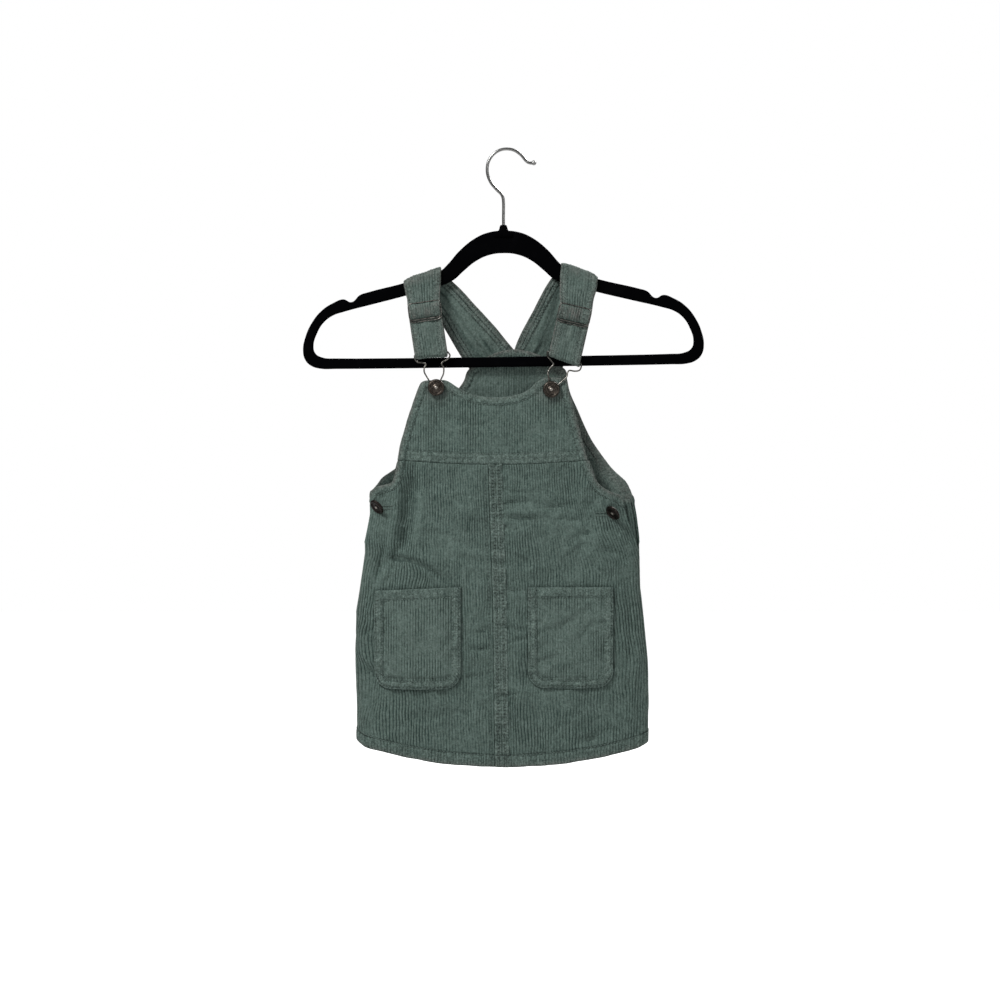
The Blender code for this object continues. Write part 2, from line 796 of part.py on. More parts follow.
def make_strap(side, parts):
    """A strap as a ribbon across its stations, kept clear of the back it is sewn on."""
    flat = [(i[0], i[1], o[0], o[1], y) for i, o, y in strap_stations(side)]
    rows = []
    for xi, zi, xo, zo, y in smooth_line(flat, 2):
        row = []
        for share in (0.0, 0.34, 0.67, 1.0):
            x, z = xi + (xo - xi) * share, zi + (zo - zi) * share
            depth = y
            if y > FOLD_RADIUS and z < SEWN_BELOW:
                face = dress_point(math.pi - turn_at(x, z), z).y
                depth = max(y, face + EDGE_RISE + GAP + STRAP_T / 2 + SLACK)
            row.append(Vector((x, depth, z)))
        if side == "left":
            row.reverse()
        rows.append(row)
    return cloth("strap_" + side, rows, STRAP_T, 0, parts)


# ================================================================ hard trim
def round_corner(corner, before, after, radius, steps=4):
    """Points of an arc that rounds a corner of a path in the XZ plane."""
    towards = [Vector(p) - Vector(corner) for p in (before, after)]
    start, end = (Vector(corner) + t.normalized() * radius for t in towards)
    arc = []
    for k in range(steps + 1):
        t = k / steps
        arc.append(tuple((1 - t) ** 2 * start[i] + 2 * t * (1 - t) * corner[i] + t * t * end[i]
                         for i in range(2)))
    return arc


def make_slider(side, parts, cutters):
    """A wire frame with a bar across its middle and its lower wire lying double."""
    size = SLIDER[side]
    top_ends = ruling(size["top"], size["lean"], SLIDER_HALF)
    low_ends = ruling(size["bottom"], size["lean"], SLIDER_HALF)
    corners = [top_ends[1], top_ends[0], low_ends[0], low_ends[1]]
    path = []
    for k in range(4):
        path += round_corner(corners[k], corners[k - 1], corners[(k + 1) % 4], 2.6)
    ring = [(x, SLIDER_Y, z) for x, z in path]
    frame = as_mesh(wire("slider_" + side, ring, WIRE_D, "dark_wire", parts, closed=True), parts)
    frame.data.materials.clear()
    frame.data.materials.append(material("dark_wire"))

    middle = tuple((a + b) / 2 for a, b in zip(size["top"], size["bottom"]))
    bar_ends = ruling(middle, size["lean"], SLIDER_HALF)
    down = Vector(size["bottom"]) - Vector(size["top"])
    lower = Vector(size["bottom"]) + down.normalized() * SLIDER_EXTRA
    extra = ruling(lower, size["lean"], SLIDER_HALF - 3.0)
    double = [low_ends[0], extra[0], extra[1], low_ends[1]]
    bars = {"bar": list(bar_ends), "double": double}
    for name, line in bars.items():
        rod = wire("slider_" + name + "_" + side, [(x, SLIDER_Y, z) for x, z in line],
                   WIRE_D * 0.9, "dark_wire", parts)
        rod = as_mesh(rod, parts)
        as_cutter(rod, cutters)
        boolean(frame, rod, "UNION")
    return frame


def clip_depth(z, side):
    """The clip's depth: in the strap's loop above, on the bib below."""
    bx, bz = BIB_BUTTONS[side]
    on_bib = dress_point(turn_at(bx, bz), bz, EDGE_RISE).y
    on_bib -= GAP + WIRE_D / 2
    top, low = LOOP[side]["mid"][1] - 6.0, bz + 10.0
    share = max(0.0, min(1.0, (top - z) / (top - low)))
    return LOOP_Y + (on_bib - LOOP_Y) * share * share * (3 - 2 * share)


def make_clip(side, parts):
    """One closed wire: a bar in the strap's loop, and a keyhole round the button."""
    loop, button = LOOP[side], BIB_BUTTONS[side]
    inner_sign = 1 if side == "left" else -1
    inner, outer = ruling(loop["mid"], loop["lean"], inner_sign * (STRAP_HALF + CLIP_ROOM))
    round_shank = []
    for k in range(7):
        angle = math.radians(155 + 230 * k / 6)
        x = button[0] + inner_sign * CLIP_LOOP_R * math.cos(angle)
        round_shank.append((x, button[1] + CLIP_LOOP_R * math.sin(angle)))
    path = [outer] + list(CLIP_OUTER[side]) + round_shank + list(CLIP_INNER[side]) + [inner]
    line = smooth_line(path, 2)
    points = [(x, clip_depth(z, side), z) for x, z in line]
    return wire("clip_" + side, points, WIRE_D, "dark_wire", parts, closed=True)


def make_button(name, place, out, neck, parts):
    """A turned shank button: a short neck, a dished head with a raised middle."""
    profile = (
        # radius, height above the cloth
        (0.0, GAP),
        (SHANK_R, GAP),
        (SHANK_R, neck),
        (BUTTON_R - 0.8, neck + 0.1),
        (BUTTON_R, neck + 0.9),
        (BUTTON_R - 0.5, neck + BUTTON_T * 0.8),
        (BUTTON_R - 1.6, neck + BUTTON_T),
        (BUTTON_R - 2.6, neck + BUTTON_T * 0.62),
        (BUTTON_R * 0.36, neck + BUTTON_T * 0.62),
        (BUTTON_R * 0.22, neck + BUTTON_T),
        (0.0, neck + BUTTON_T * 1.05),
    )
    mesh = bpy.data.meshes.new(name)
    build = bmesh.new()
    verts = [build.verts.new(Vector((r, 0.0, h)) * MM) for r, h in profile]
    for a, b in zip(verts, verts[1:]):
        build.edges.new((a, b))
    bmesh.ops.spin(build, geom=build.verts[:] + build.edges[:], cent=(0, 0, 0), axis=(0, 0, 1),
                   angle=2 * math.pi, steps=14)
    bmesh.ops.remove_doubles(build, verts=build.verts, dist=0.00001)
    bmesh.ops.recalc_face_normals(build, faces=build.faces)
    build.to_mesh(mesh)
    build.free()
    mesh.shade_smooth()
    obj = add_object(name, mesh, "bronze", parts)
    turn = Vector((0, 0, 1)).rotation_difference(Vector(out)).to_matrix().to_4x4()
    obj.matrix_world = Matrix.Translation(Vector(place) * MM) @ turn
    return obj


def make_buttons(parts):
    for side, (x, z) in BIB_BUTTONS.items():
        face = dress_point(turn_at(x, z), z, EDGE_RISE).y
        make_button("bib_button_" + side, (x, face, z), (0, -1, 0), GAP * 2 + WIRE_D, parts)
    for side, (x, z) in SIDE_BUTTONS.items():
        turn = turn_at(x, z)
        make_button("side_button_" + side, dress_point(turn, z), outward(turn, z), 1.2, parts)


# ================================================================ the hanger
def tilted(x, z):
    return x, z + TILT * x


def outline(half):
    """A closed outline from a half one: right side out, left side back."""
    right = [tilted(x, z) for x, z in half]
    left = [tilted(-x, z) for x, z in reversed(half) if x > 0.0]
    return right + left


def neck_mesh():
    """The neck's flare: rings of its radii, cut flat front and back, capped at both ends."""
    mesh = bpy.data.meshes.new("hanger_neck")
    build = bmesh.new()
    segments = 20
    rings = []
    for z, radius in NECK:
        ring = []
        for k in range(segments):
            angle = 2 * math.pi * k / segments
            depth = max(-NECK_DEPTH, min(NECK_DEPTH, radius * math.sin(angle)))
            ring.append(build.verts.new(Vector((radius * math.cos(angle), depth, z)) * MM))
        rings.append(ring)
    for upper, lower in zip(rings, rings[1:]):
        for k in range(segments):
            after = (k + 1) % segments
            build.faces.new((upper[k], lower[k], lower[after], upper[after]))
    build.faces.new(rings[0])
    build.faces.new(list(reversed(rings[-1])))
    bmesh.ops.triangulate(build, faces=build.faces[:])
    bmesh.ops.recalc_face_normals(build, faces=build.faces[:])
    build.to_mesh(mesh)
    build.free()
    return mesh


def make_hanger(parts, cutters):
    """A flat frame with rounded edges, its flared neck and the hook's blind bore."""
    curve = bpy.data.curves.new("hanger_body", "CURVE")
    curve.dimensions = "2D"
    curve.fill_mode = "BOTH"
    curve.extrude = (HANGER_T / 2 - HANGER_ROUND) * MM
    curve.bevel_depth = HANGER_ROUND * MM
    curve.bevel_resolution = 1
    curve.offset = -HANGER_ROUND * MM
    curve.resolution_u = 1
    for half in (HANGER_OUTER, HANGER_INNER):
        points = outline(half)
        spline = curve.splines.new("BEZIER")
        spline.bezier_points.add(len(points) - 1)
        for knot, (x, z) in zip(spline.bezier_points, points):
            knot.co = (x * MM, z * MM, 0.0)
            knot.handle_left_type = knot.handle_right_type = "AUTO"
        spline.use_cyclic_u = True
    flat = bpy.data.objects.new("hanger_body", curve)
    flat.rotation_euler = (math.pi / 2, 0.0, 0.0)
    parts.objects.link(flat)
    bpy.context.view_layer.update()
    body = as_mesh(flat, parts)
    body.data.materials.clear()
    body.data.materials.append(material("flock"))

    neck = add_object("hanger_neck", neck_mesh(), "flock", parts)
    as_cutter(neck, cutters)
    boolean(body, neck, "UNION")
    top = NECK[0][0] + OVERSHOOT
    bpy.ops.mesh.primitive_cylinder_add(
        vertices=20, radius=(HOOK_D / 2 + GAP) * MM, depth=(top - BORE_BOTTOM) * MM,
        location=(0.0, 0.0, (top + BORE_BOTTOM) / 2 * MM))
    bore = bpy.context.active_object
    bore.name = "hanger_bore"
    as_cutter(bore, cutters)
    boolean(body, bore, "DIFFERENCE")
    return body


def make_hook(parts, cutters):
    line = smooth_line(HOOK_LINE, 2)
    hook = wire("hanger_hook", [(x, 0.0, z) for x, z in line], HOOK_D, "steel", parts)
    hook = as_mesh(hook, parts)
    hook.data.materials.clear()
    hook.data.materials.append(material("steel"))
    tip = HOOK_LINE[-1]
    bpy.ops.mesh.primitive_uv_sphere_add(segments=12, ring_count=8, radius=HOOK_TIP_R * MM,
                                         location=(tip[0] * MM, 0.0, tip[1] * MM))
    ball = bpy.context.active_object
    ball.name = "hook_tip"
    as_cutter(ball, cutters)
    boolean(hook, ball, "UNION")
    return hook


def main():
    clear_scene()
    parts = collection("pinafore_dress_on_hanger")
    cutters = collection("cutters")
    make_hanger(parts, cutters)
    make_hook(parts, cutters)
    make_front_bib(parts)
    make_front_skirt_left(parts)
    make_front_skirt_right(parts)
    make_back_bib(parts)
    make_back_skirt(parts)
    for name in POCKETS:
        make_pocket(name, parts)
    for side in ("left", "right"):
        make_underlap("underlap_" + side, side, parts)
        make_strap(side, parts)
        make_slider(side, parts, cutters)
        make_clip(side, parts)
    make_buttons(parts)


main()
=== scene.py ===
"""The looks of a child's corduroy pinafore dress on a flat hanger.

Metres, +Z up, the front faces -Y.  Tables are in millimetres, and points are
scaled by MM when they become meshes.  The wales of the corduroy are modelled:
every panel is a closed shell whose outer points rise and fall with each wale.
"""

import math

import bpy
import numpy as np
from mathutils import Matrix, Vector


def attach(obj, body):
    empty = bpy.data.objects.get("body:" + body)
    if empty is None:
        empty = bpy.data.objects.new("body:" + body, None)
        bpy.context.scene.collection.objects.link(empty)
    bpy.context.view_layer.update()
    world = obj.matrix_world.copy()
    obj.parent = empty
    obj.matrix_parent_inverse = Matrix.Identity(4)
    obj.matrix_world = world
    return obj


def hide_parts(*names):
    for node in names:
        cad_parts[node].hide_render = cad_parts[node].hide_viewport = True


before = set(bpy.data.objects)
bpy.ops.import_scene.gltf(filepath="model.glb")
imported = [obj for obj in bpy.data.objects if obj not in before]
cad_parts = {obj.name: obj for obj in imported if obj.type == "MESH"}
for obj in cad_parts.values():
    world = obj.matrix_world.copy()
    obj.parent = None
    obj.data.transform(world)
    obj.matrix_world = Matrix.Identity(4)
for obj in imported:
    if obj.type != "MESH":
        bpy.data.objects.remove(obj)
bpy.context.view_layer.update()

BODY = "root"
MM = 0.001

# -------- sizes, as in the solids
GAP = 0.3                    # between pieces that touch
WALL = 1.8                   # how thick the cloth is, and a strap's
STRAP_T = 2.6
SLACK = 0.2
BAND_W = 12.7                # the centre band, and how far it stands proud
BAND_RISE = 0.8
HEM_W = 11.6
HEM_RISE = 0.7
EDGE_W = 7.6                 # what is turned in along a free edge
EDGE_RISE = 0.6
HANGER_T = 5.5
HANGER_ROUND = 2.2
TILT = 0.0139                # of the hanger, down to the left
HOOK_D = 2.7
WIRE_D = 1.7
BUTTON_R = 7.5
BUTTON_T = 2.6
SHANK_R = 2.0
SECTION_POWER = 2.3          # 2 would be an ellipse; more is flatter with rounder sides
FAR = 99.0                   # stands for any distance that is out of an edge's reach

# -------- turned edges that only the shells have
WAIST_W = 9.8                # the waist seam's turnings under a bib
WAIST_RISE = 0.35
POCKET_EDGE_W = 7.9
POCKET_EDGE_RISE = 0.95
POCKET_HEM_W = 9.2           # along a pocket's top
POCKET_HEM_RISE = 0.6

# -------- rows of stitches, in from the edge
HEM_STITCH = HEM_W - 0.5
EDGE_STITCH = 6.9
BAND_STITCH = 3.2
POCKET_STITCHES = (1.8, 7.3)
POCKET_TOP_STITCH = 8.7
STRAP_STITCHES = (1.8, 6.6)

# -------- the corduroy
PITCH = 2.31                 # 11 wales to the inch
WALE_H = 0.62                # from the groove to the crest
# Places across one wale, and the pile's height there from 0 to 1.
WALE = (
    # place, height
    (0.00, 0.00),
    (0.10, 0.50),
    (0.24, 0.88),
    (0.50, 1.00),
    (0.76, 0.88),
    (0.90, 0.50),
)
STITCH_L = 2.5
STITCH_GAP = 0.55
STITCH_PITCH = STITCH_L + STITCH_GAP
PUCKER_L = 2.4
THREAD_R = 0.24
# Where each part's random draws start.
SEEDS = {
    "skirt_front_left": 1, "skirt_front_right": 4, "skirt_back": 7, "bib_front": 2, "bib_back": 5,
    "back_lining": 9, "button_stand": 6, "pocket_left": 21, "pocket_right": 20, "pocket_furrow": 27,
    "strap_left": 40, "strap_right": 45, "rumple_front": 11, "rumple_back": 31, "facing": 77, "hem": 91,
}

# -------- the dress's form
FORM = (
    # z,     x_left, x_right, front, back
    (-170, -118, 114, 6.2, 5.8),
    (-195, -118, 114, 7, 6.4),
    (-220, -118, 114, 8.2, 8.2),
    (-250, -118, 114, 10.6, 11),
    (-280, -118.5, 114, 13, 13.4),
    (-304, -119.2, 114.8, 14.6, 14.8),
    (-327, -119.6, 119.4, 15.8, 15.6),
    (-345, -123.2, 121.6, 16.6, 16),
    (-352, -124.6, 122, 16.8, 16.2),
    (-360, -124.4, 122.2, 17, 16.4),
    (-391.6, -128.8, 123, 17.6, 16.8),
    (-413, -132.2, 125.4, 18, 17),
    (-456, -132.8, 129.6, 18.2, 17.2),
    (-490, -131.8, 130.6, 17.8, 17),
    (-535, -131.4, 129.6, 17.2, 16.4),
    (-556, -131.2, 129.2, 17, 16.2),
)
FRONT_EDGE = (
    # x,     z
    (-121, -309.5), (-118.6, -304.6), (-112.7, -300.8), (-106.7, -299.4), (-100, -297.2),
    (-97.4, -291.5), (-95.4, -283.5), (-93.8, -272), (-91.3, -259.7), (-85.1, -238.3), (-79.7, -222.3),
    (-75.8, -212), (-73.6, -208.2), (-69.5, -206.4), (-60, -206), (-50.5, -206.6), (-40.2, -213),
    (-27.4, -218.9), (-11.1, -221.4), (8.9, -219.8), (21.7, -215), (29, -208.4), (36.1, -204.5),
    (45, -203.8), (53, -205), (56.8, -208.2), (59.4, -217.5), (64.6, -237), (70.3, -259.7),
    (74.9, -275.1), (80.4, -289), (85.4, -298.6), (94, -304.8), (104, -308.6), (107.5, -313),
)
BACK_EDGE = (
    # x,     z
    (-121, -306), (-113.4, -299.6), (-108.4, -292.6), (-101.5, -287.6), (-95.8, -283), (-87, -271.5),
    (-76, -255), (-63, -238), (-51, -225), (-40.5, -213), (-35.4, -205.5), (-31.8, -196.5),
    (-20, -187.4), (-5, -180.4), (9.4, -177.8), (24, -180), (40, -186.6), (55, -195.5), (57, -203.5),
    (60.1, -217), (66.4, -231.2), (72.6, -245.5), (79.7, -259.7), (89.5, -274), (94.2, -281),
    (101, -287.6), (109, -295), (112.6, -301.5), (116, -309),
)
RIGHT_OPENING = (
    # z,     inset
    (-300, 8.5),
    (-316, 10.6),
    (-330, 9),
    (-345, 4.5),
    (-358, 0.9),
    (-366, 0),
)
CENTRE_FRONT = (
    # z,     x
    (-278, -7.4),
    (-404, -3.1),
    (-556, -1),
)
# Large folds, which the solids have too.
FRONT_FOLDS = (
    # x,     z,      along, across, lean,  rise
    (-88, -318, 34, 4.5, 4, -3),
    (-98, -322, 30, 6, 6, 2.2),
    (-76, -330, 36, 9, 2, 1.6),
    (-96, -372, 30, 8, -58, -1.5),
    (-100, -350, 24, 7, -40, 1.4),
    (-60, -368, 30, 9, 70, 1.1),
    (40, -318, 34, 4, 88, -1.1),
    (40, -327, 30, 5, 86, 0.9),
    (84, -345, 34, 8, 20, 1.6),
    (72, -352, 32, 8, 24, -1.3),
    (-14, -430, 60, 10, 3, -1.2),
    (108, -450, 60, 9, -3, 1.3),
    (5, -470, 55, 14, -4, 1.1),
    (-70, -508, 26, 16, 84, 1.2),
    (64, -506, 30, 15, 92, 1.1),
    (-30, -236, 28, 9, 84, -0.8),
    (-66, -250, 30, 10, -12, 1),
    (52, -250, 30, 10, 14, 1),
)
BACK_FOLDS = (
    # x,     z,      along, across, lean,  rise
    (12, -250, 34, 16, 88, -0.9),
    (-60, -330, 44, 9, 12, -2),
    (-74, -334, 40, 9, 10, 1.6),
    (64, -336, 42, 10, -12, -1.8),
    (80, -330, 40, 9, -10, 1.5),
    (6, -400, 80, 12, 2, 1.6),
    (-30, -470, 60, 12, 4, -1.6),
    (50, -470, 60, 13, -3, -1.4),
    (-96, -450, 60, 12, -4, 1.3),
    (98, -450, 60, 12, 4, 1.3),
)
# Smaller creases that only the shells have.
FRONT_CREASES = (
    # x,     z,      along, across, lean,  rise
    (8.5, -315.5, 12, 1.3, 86, -1.4),
    (14, -329.5, 17, 1.4, 90, -1.7),
    (16, -324, 18, 2.6, 90, 0.9),
    (13, -306, 10, 1.3, 92, -1),
    (-34, -309, 9, 1.2, 94, -0.8),
    (16, -365, 14, 1.5, -70, -1.3),
    (8, -394, 11, 1.4, 84, -1.2),
    (-20, -445, 11, 1.5, 88, -1.5),
    (-24, -469, 13, 1.5, 82, -1.5),
    (12, -428, 12, 1.5, 96, -1.4),
    (14, -438, 11, 1.5, 84, -1.3),
    (-48, -441, 8, 1.2, 84, -0.7),
    (10, -486, 12, 1.4, 90, -1.1),
    (-20, -430, 10, 1.5, 80, -1.3),
    (20, -322.5, 22, 3.4, 88, 1),
    (46, -319, 16, 1.8, 84, -1.1),
    (62, -331, 16, 1.8, 90, -1.1),
    (40, -338, 24, 4, 80, 0.7),
    (-23, -332, 12, 2, 92, -0.7),
    (-28, -324, 18, 3.4, 88, 0.5),
    (-80.5, -298, 18, 5.4, 3, -1.9),
    (-82.6, -323, 22, 6, 5, -3.1),
    (-89, -348, 12, 5.4, 18, -2.1),
    (-93, -308, 24, 5, 4, 1.1),
    (-97, -338, 20, 5, 10, 1.2),
    (-73, -328, 30, 4, 5, 0.9),
    (-100, -364, 18, 3.4, 40, -1.2),
    (-94, -365.5, 9, 2.6, -76, -1.9),
    (-80, -368, 12, 2.4, -72, -1.5),
    (-111, -371, 15, 2.8, 14, -2.3),
    (-105, -375, 14, 3.2, 12, 1.4),
    (-68, -374.5, 12, 2, -64, -1.5),
    (-56, -383, 10, 2, -52, -1.5),
    (-60, -372, 18, 3.4, -62, 1.1),
    (-84, -362, 16, 3.2, -80, 1),
    (-94, -374, 12, 2, -84, -0.9),
    (-123, -427, 22, 4, -14, -1.4),
    (-121, -455, 17, 4, -48, 1.3),
    (-117, -467, 17, 3.6, -50, -1.1),
    (-70, -497, 30, 4, 82, 0.8),
    (-60, -506, 30, 3.6, 80, -0.8),
    (-96, -522, 24, 4, 74, 0.7),
    (-22, -420, 26, 4, 8, 0.6),
    (-30, -470, 22, 3.4, 18, -0.7),
    (-24, -500, 22, 4, 12, 0.6),
    (16, -400, 30, 3.6, -6, -0.8),
    (12, -462, 26, 4, -10, 0.7),
    (30, -500, 18, 4, -34, -0.7),
    (66, -500, 26, 4, 96, 0.7),
    (90, -520, 26, 4, 70, -0.7),
    (82, -354, 18, 2.6, -46, 1.2),
    (88, -374, 18, 3, -45, 0.9),
    (80, -371, 18, 2.6, -45, -1.1),
    (78, -318, 16, 3, 40, -0.8),
    (72, -306, 22, 3.6, 24, 0.7),
    (88, -338, 16, 3.2, -20, -0.7),
    (113, -420, 30, 4, -4, -1),
    (117, -470, 24, 4, 6, 0.9),
    (-60, -240, 24, 4.6, 0, -0.9),
    (-72, -250, 24, 4.4, -14, 0.8),
    (-46, -238, 16, 3.4, 40, -0.5),
    (43, -242, 22, 4.2, 4, -0.8),
    (28, -240, 18, 3.6, -40, -0.5),
    (-20, -246, 26, 4, 84, -0.5),
    (4, -258, 26, 4.4, 96, 0.5),
    (-52, -296, 20, 3.4, 66, -0.5),
)
BACK_CREASES = (
    # x,     z,      along, across, lean,  rise
    (-84, -318, 24, 2.8, 8, -1.3),
    (-94, -322, 24, 4, 10, 0.9),
    (92, -322, 26, 2.8, -9, -1.2),
    (80, -326, 24, 4, -10, 0.9),
    (-20, -322, 20, 2.4, 88, -0.9),
    (-14, -314, 20, 3.4, 90, 0.7),
    (30, -318, 18, 2.4, 93, -0.9),
    (50, -330, 20, 2.6, 86, -0.7),
    (4, -230, 18, 3.4, 84, -0.6),
    (40, -246, 16, 3, 60, 0.6),
    (-36, -250, 16, 3, -58, 0.6),
    (-20, -256, 22, 3.2, 92, -0.6),
    (70, -420, 26, 4, 4, 0.8),
    (-66, -410, 28, 4, -5, -0.8),
    (24, -440, 30, 3.6, 8, -0.7),
    (-100, -380, 20, 3.4, -40, -0.8),
    (104, -384, 20, 3.4, 42, -0.8),
    (-40, -512, 28, 4, 84, 0.7),
    (56, -508, 28, 4, 96, -0.7),
    (112, -470, 26, 4, -8, 0.8),
    (-112, -470, 26, 4, 10, -0.8),
)
CREASE_DEPTH = 1.5
# Where the wales stray sideways.
WANDERS = (
    # x,     z,      across, along, shift
    (-122, -438, 14, 15, -3.4),
    (-118, -472, 14, 17, 3.6),
    (-116, -515, 16, 15, -2),
    (-84, -362, 12, 9, -1.8),
    (-78, -380, 14, 9, 1.8),
    (-108, -360, 9, 14, 1.6),
    (78, -350, 14, 14, -1.8),
    (92, -376, 14, 14, 1.8),
    (112, -450, 12, 20, 2),
    (20, -470, 10, 18, 1.4),
    (-24, -512, 12, 16, -1.6),
)
POCKETS = {
    "pocket_left": {"x": -76.4, "half": 38.6, "top": -392.4, "bottom": -480.2,
                    "corner": 14, "slope": 0.045, "rub": 0.40},
    "pocket_right": {"x": 59.6, "half": 37.8, "top": -390.8, "bottom": -479.2,
                     "corner": 14, "slope": 0, "rub": 0.30},
}

# -------- straps and trim
STRAP_BACK = {
    "left": (
        # xi,    zi,     xo,    zo,     y
        (9, -178.6, -5, -220, 7.8),
        (1.3, -169.6, -19.5, -208, 7.5),
        (-7.6, -158.6, -30.6, -194, 7),
        (-17.4, -147.8, -40.2, -179.5, 6.2),
        (-27.2, -137.2, -49.5, -163.8, 5.5),
        (-36.1, -127.2, -58.5, -149.5, 5),
        (-44.5, -119, -69, -136.6, 4.7),
        (-51.5, -113.2, -80, -127, 4.6),
    ),
    "right": (
        # xi,    zi,     xo,    zo,     y
        (10.2, -178.6, 24, -222, 7.8),
        (12.6, -172.5, 40, -208, 7.5),
        (17, -163, 54.6, -190, 7),
        (22.4, -152.8, 60, -171, 6.2),
        (28, -142.4, 64, -156, 5.5),
        (33.4, -131.6, 67.4, -142.6, 5),
        (38.8, -121.6, 71, -131.4, 4.7),
        (45, -112.6, 77, -122.8, 4.6),
    ),
}
STRAP_FOLD = {
    "left": {"inner": (-56.4, -105.3), "outer": (-88.4, -116.8)},
    "right": {"inner": (52, -100.4), "outer": (83.4, -112.8)},
}
FOLD_RADIUS = 4.6
STRAP_FRONT = {
    "left": (
        # xi,    zi,     xo,    zo,     y
        (-56.6, -120.5, -87, -128.5, -4.7),
        (-57.1, -128.5, -85.6, -133.6, -5.7),
    ),
    "right": (
        # xi,    zi,     xo,    zo,     y
        (51, -116.5, 82.6, -125, -4.7),
        (50.7, -127.5, 80, -134.2, -5.7),
    ),
}
SLIDER = {
    "left": {"top": (-71.1, -136.5), "bottom": (-69.3, -151.4), "lean": 8.2},
    "right": {"top": (64.9, -140.2), "bottom": (61.6, -154.6), "lean": -13.5},
}
SLIDER_Y = -10.0
STRAP_HALF = 14.2
CLIP_ROOM = 1.75
LOOP = {
    "left": {"mid": (-63.6, -182.4), "lean": 6.4},
    "right": {"mid": (54.3, -186), "lean": -20},
}
# How the strap weaves over the slider.
SLIDER_WEAVE = (
    # share of the way down, share of its reach
    (0.0, 0.85), (0.13, 0.25), (0.26, -0.55), (0.5, -0.75), (0.74, -0.55), (0.87, 0.25), (1.0, 0.85),
)
INWARDS = {"left": 1, "right": -1}             # the way along +X to the dress's middle
STRAP_SHIFT = {"left": -1.1, "right": 0.2}     # the strap's cloth in its clip
STRAP_TURN = {"left": -3.0, "right": 0.0}      # and the degrees that its lean changes there
STRAP_TOP_DROP = {
    # inner, outer corner
    "left": (0.3, 1.3),
    "right": (2, 2),
}
LOOP_Y = -6.85
LOOP_RADIUS = 2.6
CLIP_OUTER = {
    "left": ((-79.1, -187), (-76.6, -190), (-71.6, -190.7), (-69.3, -192.4), (-70.6, -194.8),
             (-70.6, -199.2), (-67.6, -204.6)),
    "right": ((69.4, -194.6), (67.6, -197.5), (63.6, -198.2), (59, -197.6), (57.2, -199.6),
              (56.2, -203.6), (51.8, -207.8)),
}
CLIP_INNER = {
    "left": ((-56.2, -206.6), (-53.6, -200.6), (-53.4, -194.8), (-55.2, -191.9), (-54.2, -189.8),
             (-49.6, -187.2), (-47.8, -183.9)),
    "right": ((40.4, -206.4), (39.7, -200), (41.4, -195.6), (44.6, -191.8), (42.2, -188.2),
              (39.4, -184.8)),
}
BIB_BUTTONS = {"left": (-60.1, -212.9), "right": (42.6, -214.6)}
SIDE_BUTTONS = {"left": (-112, -320), "right": (96.2, -325.7)}
CLIP_LOOP_R = 3.5
CLIP_INNER_SHORTER = {"left": 2.4, "right": 0.0}

HANGER_OUTER = (
    # x,    z
    (0, -71.9), (13, -73.2), (24.5, -77.8), (39, -89), (50, -101.4), (56, -106.9), (64, -110.2),
    (90, -117.8), (122, -125.6), (128.5, -127.7), (136.2, -134), (143.4, -131.4), (152, -134.3),
    (163, -141.4), (172, -152.6), (177.6, -165.2), (179.6, -176.7), (177.6, -185.3), (172.4, -190.6),
    (164.5, -193.2), (150, -193.7),
)
HANGER_INNER = (
    # x,    z
    (0, -92), (13, -93.6), (25, -99), (36, -107.8), (45, -115.6), (55.7, -120.1), (87.5, -128.9),
    (118, -136.4), (143, -142.6), (153, -145.9), (161, -151.9), (166.6, -160.6), (170.2, -173.4),
    (168.4, -179.6), (162, -183.3), (150, -184.3),
)
# The hanger's neck, from the hook down to where it is lost in the arch.
NECK = (
    # z,    radius
    (-67.2, 1.7), (-66.8, 2), (-66.9, 2.5), (-67.4, 3), (-68.6, 3.4), (-70.2, 3.8), (-71.6, 4.4),
    (-72.6, 5.4), (-73.4, 7), (-75, 9), (-78, 9), (-78, 1.7),
)
NECK_DEPTH = 3.6
HOOK_LINE = (
    # x,    z
    (0, -76), (0, -60), (0, -46), (-1.4, -40), (-6.3, -34.8), (-10.8, -29.5), (-13.7, -23.2),
    (-14.6, -17), (-13.6, -10.4), (-9.9, -4.3), (-3.6, 0.2), (3.6, 1.35), (10.4, -0.2), (16.2, -4.4),
    (20.2, -9.2), (23.6, -11.2), (27.2, -11.1),
)
HOOK_TIP_R = 2.2


# ======== materials
class Value:
    """What a material works out at each point.  Values and numbers combine by arithmetic."""

    def __init__(self, socket):
        self.socket = socket

    def node(self, kind, inputs, output=0, **settings):
        return new_value(self.socket.id_data, kind, inputs, output, **settings)

    def maths(self, operation, *others):
        return self.node("ShaderNodeMath", dict(enumerate((self, *others))), operation=operation)

    def __add__(self, other):
        return self.maths("ADD", other)

    def __sub__(self, other):
        return self.maths("SUBTRACT", other)

    def __mul__(self, other):
        return self.maths("MULTIPLY", other)

    def ramp(self, low, high, out_low=0.0, out_high=1.0):
        """The span from low to high stretched to another one, and held at its ends."""
        spans = {"From Min": low, "From Max": high, "To Min": out_low, "To Max": out_high}
        return self.node("ShaderNodeMapRange", {"Value": self, **spans}, clamp=True)

    def mix(self, first, second):
        """The first colour where this is 0, the second where it is 1."""
        inputs = {0: self, MIX_FIRST: first, MIX_SECOND: second}
        return self.node("ShaderNodeMix", inputs, MIX_RESULT, data_type="RGBA")

    def scaled(self, factor):
        return self.node("ShaderNodeVectorMath", {0: self, "Scale": factor}, operation="SCALE")

    def stretched(self, scale):
        return self.node("ShaderNodeMapping", {"Vector": self, "Scale": scale})

    def noise(self, scale, detail=3.0, rough=0.55):
        inputs = {"Vector": self, "Scale": scale, "Detail": detail, "Roughness": rough}
        return self.node("ShaderNodeTexNoise", inputs, "Fac")


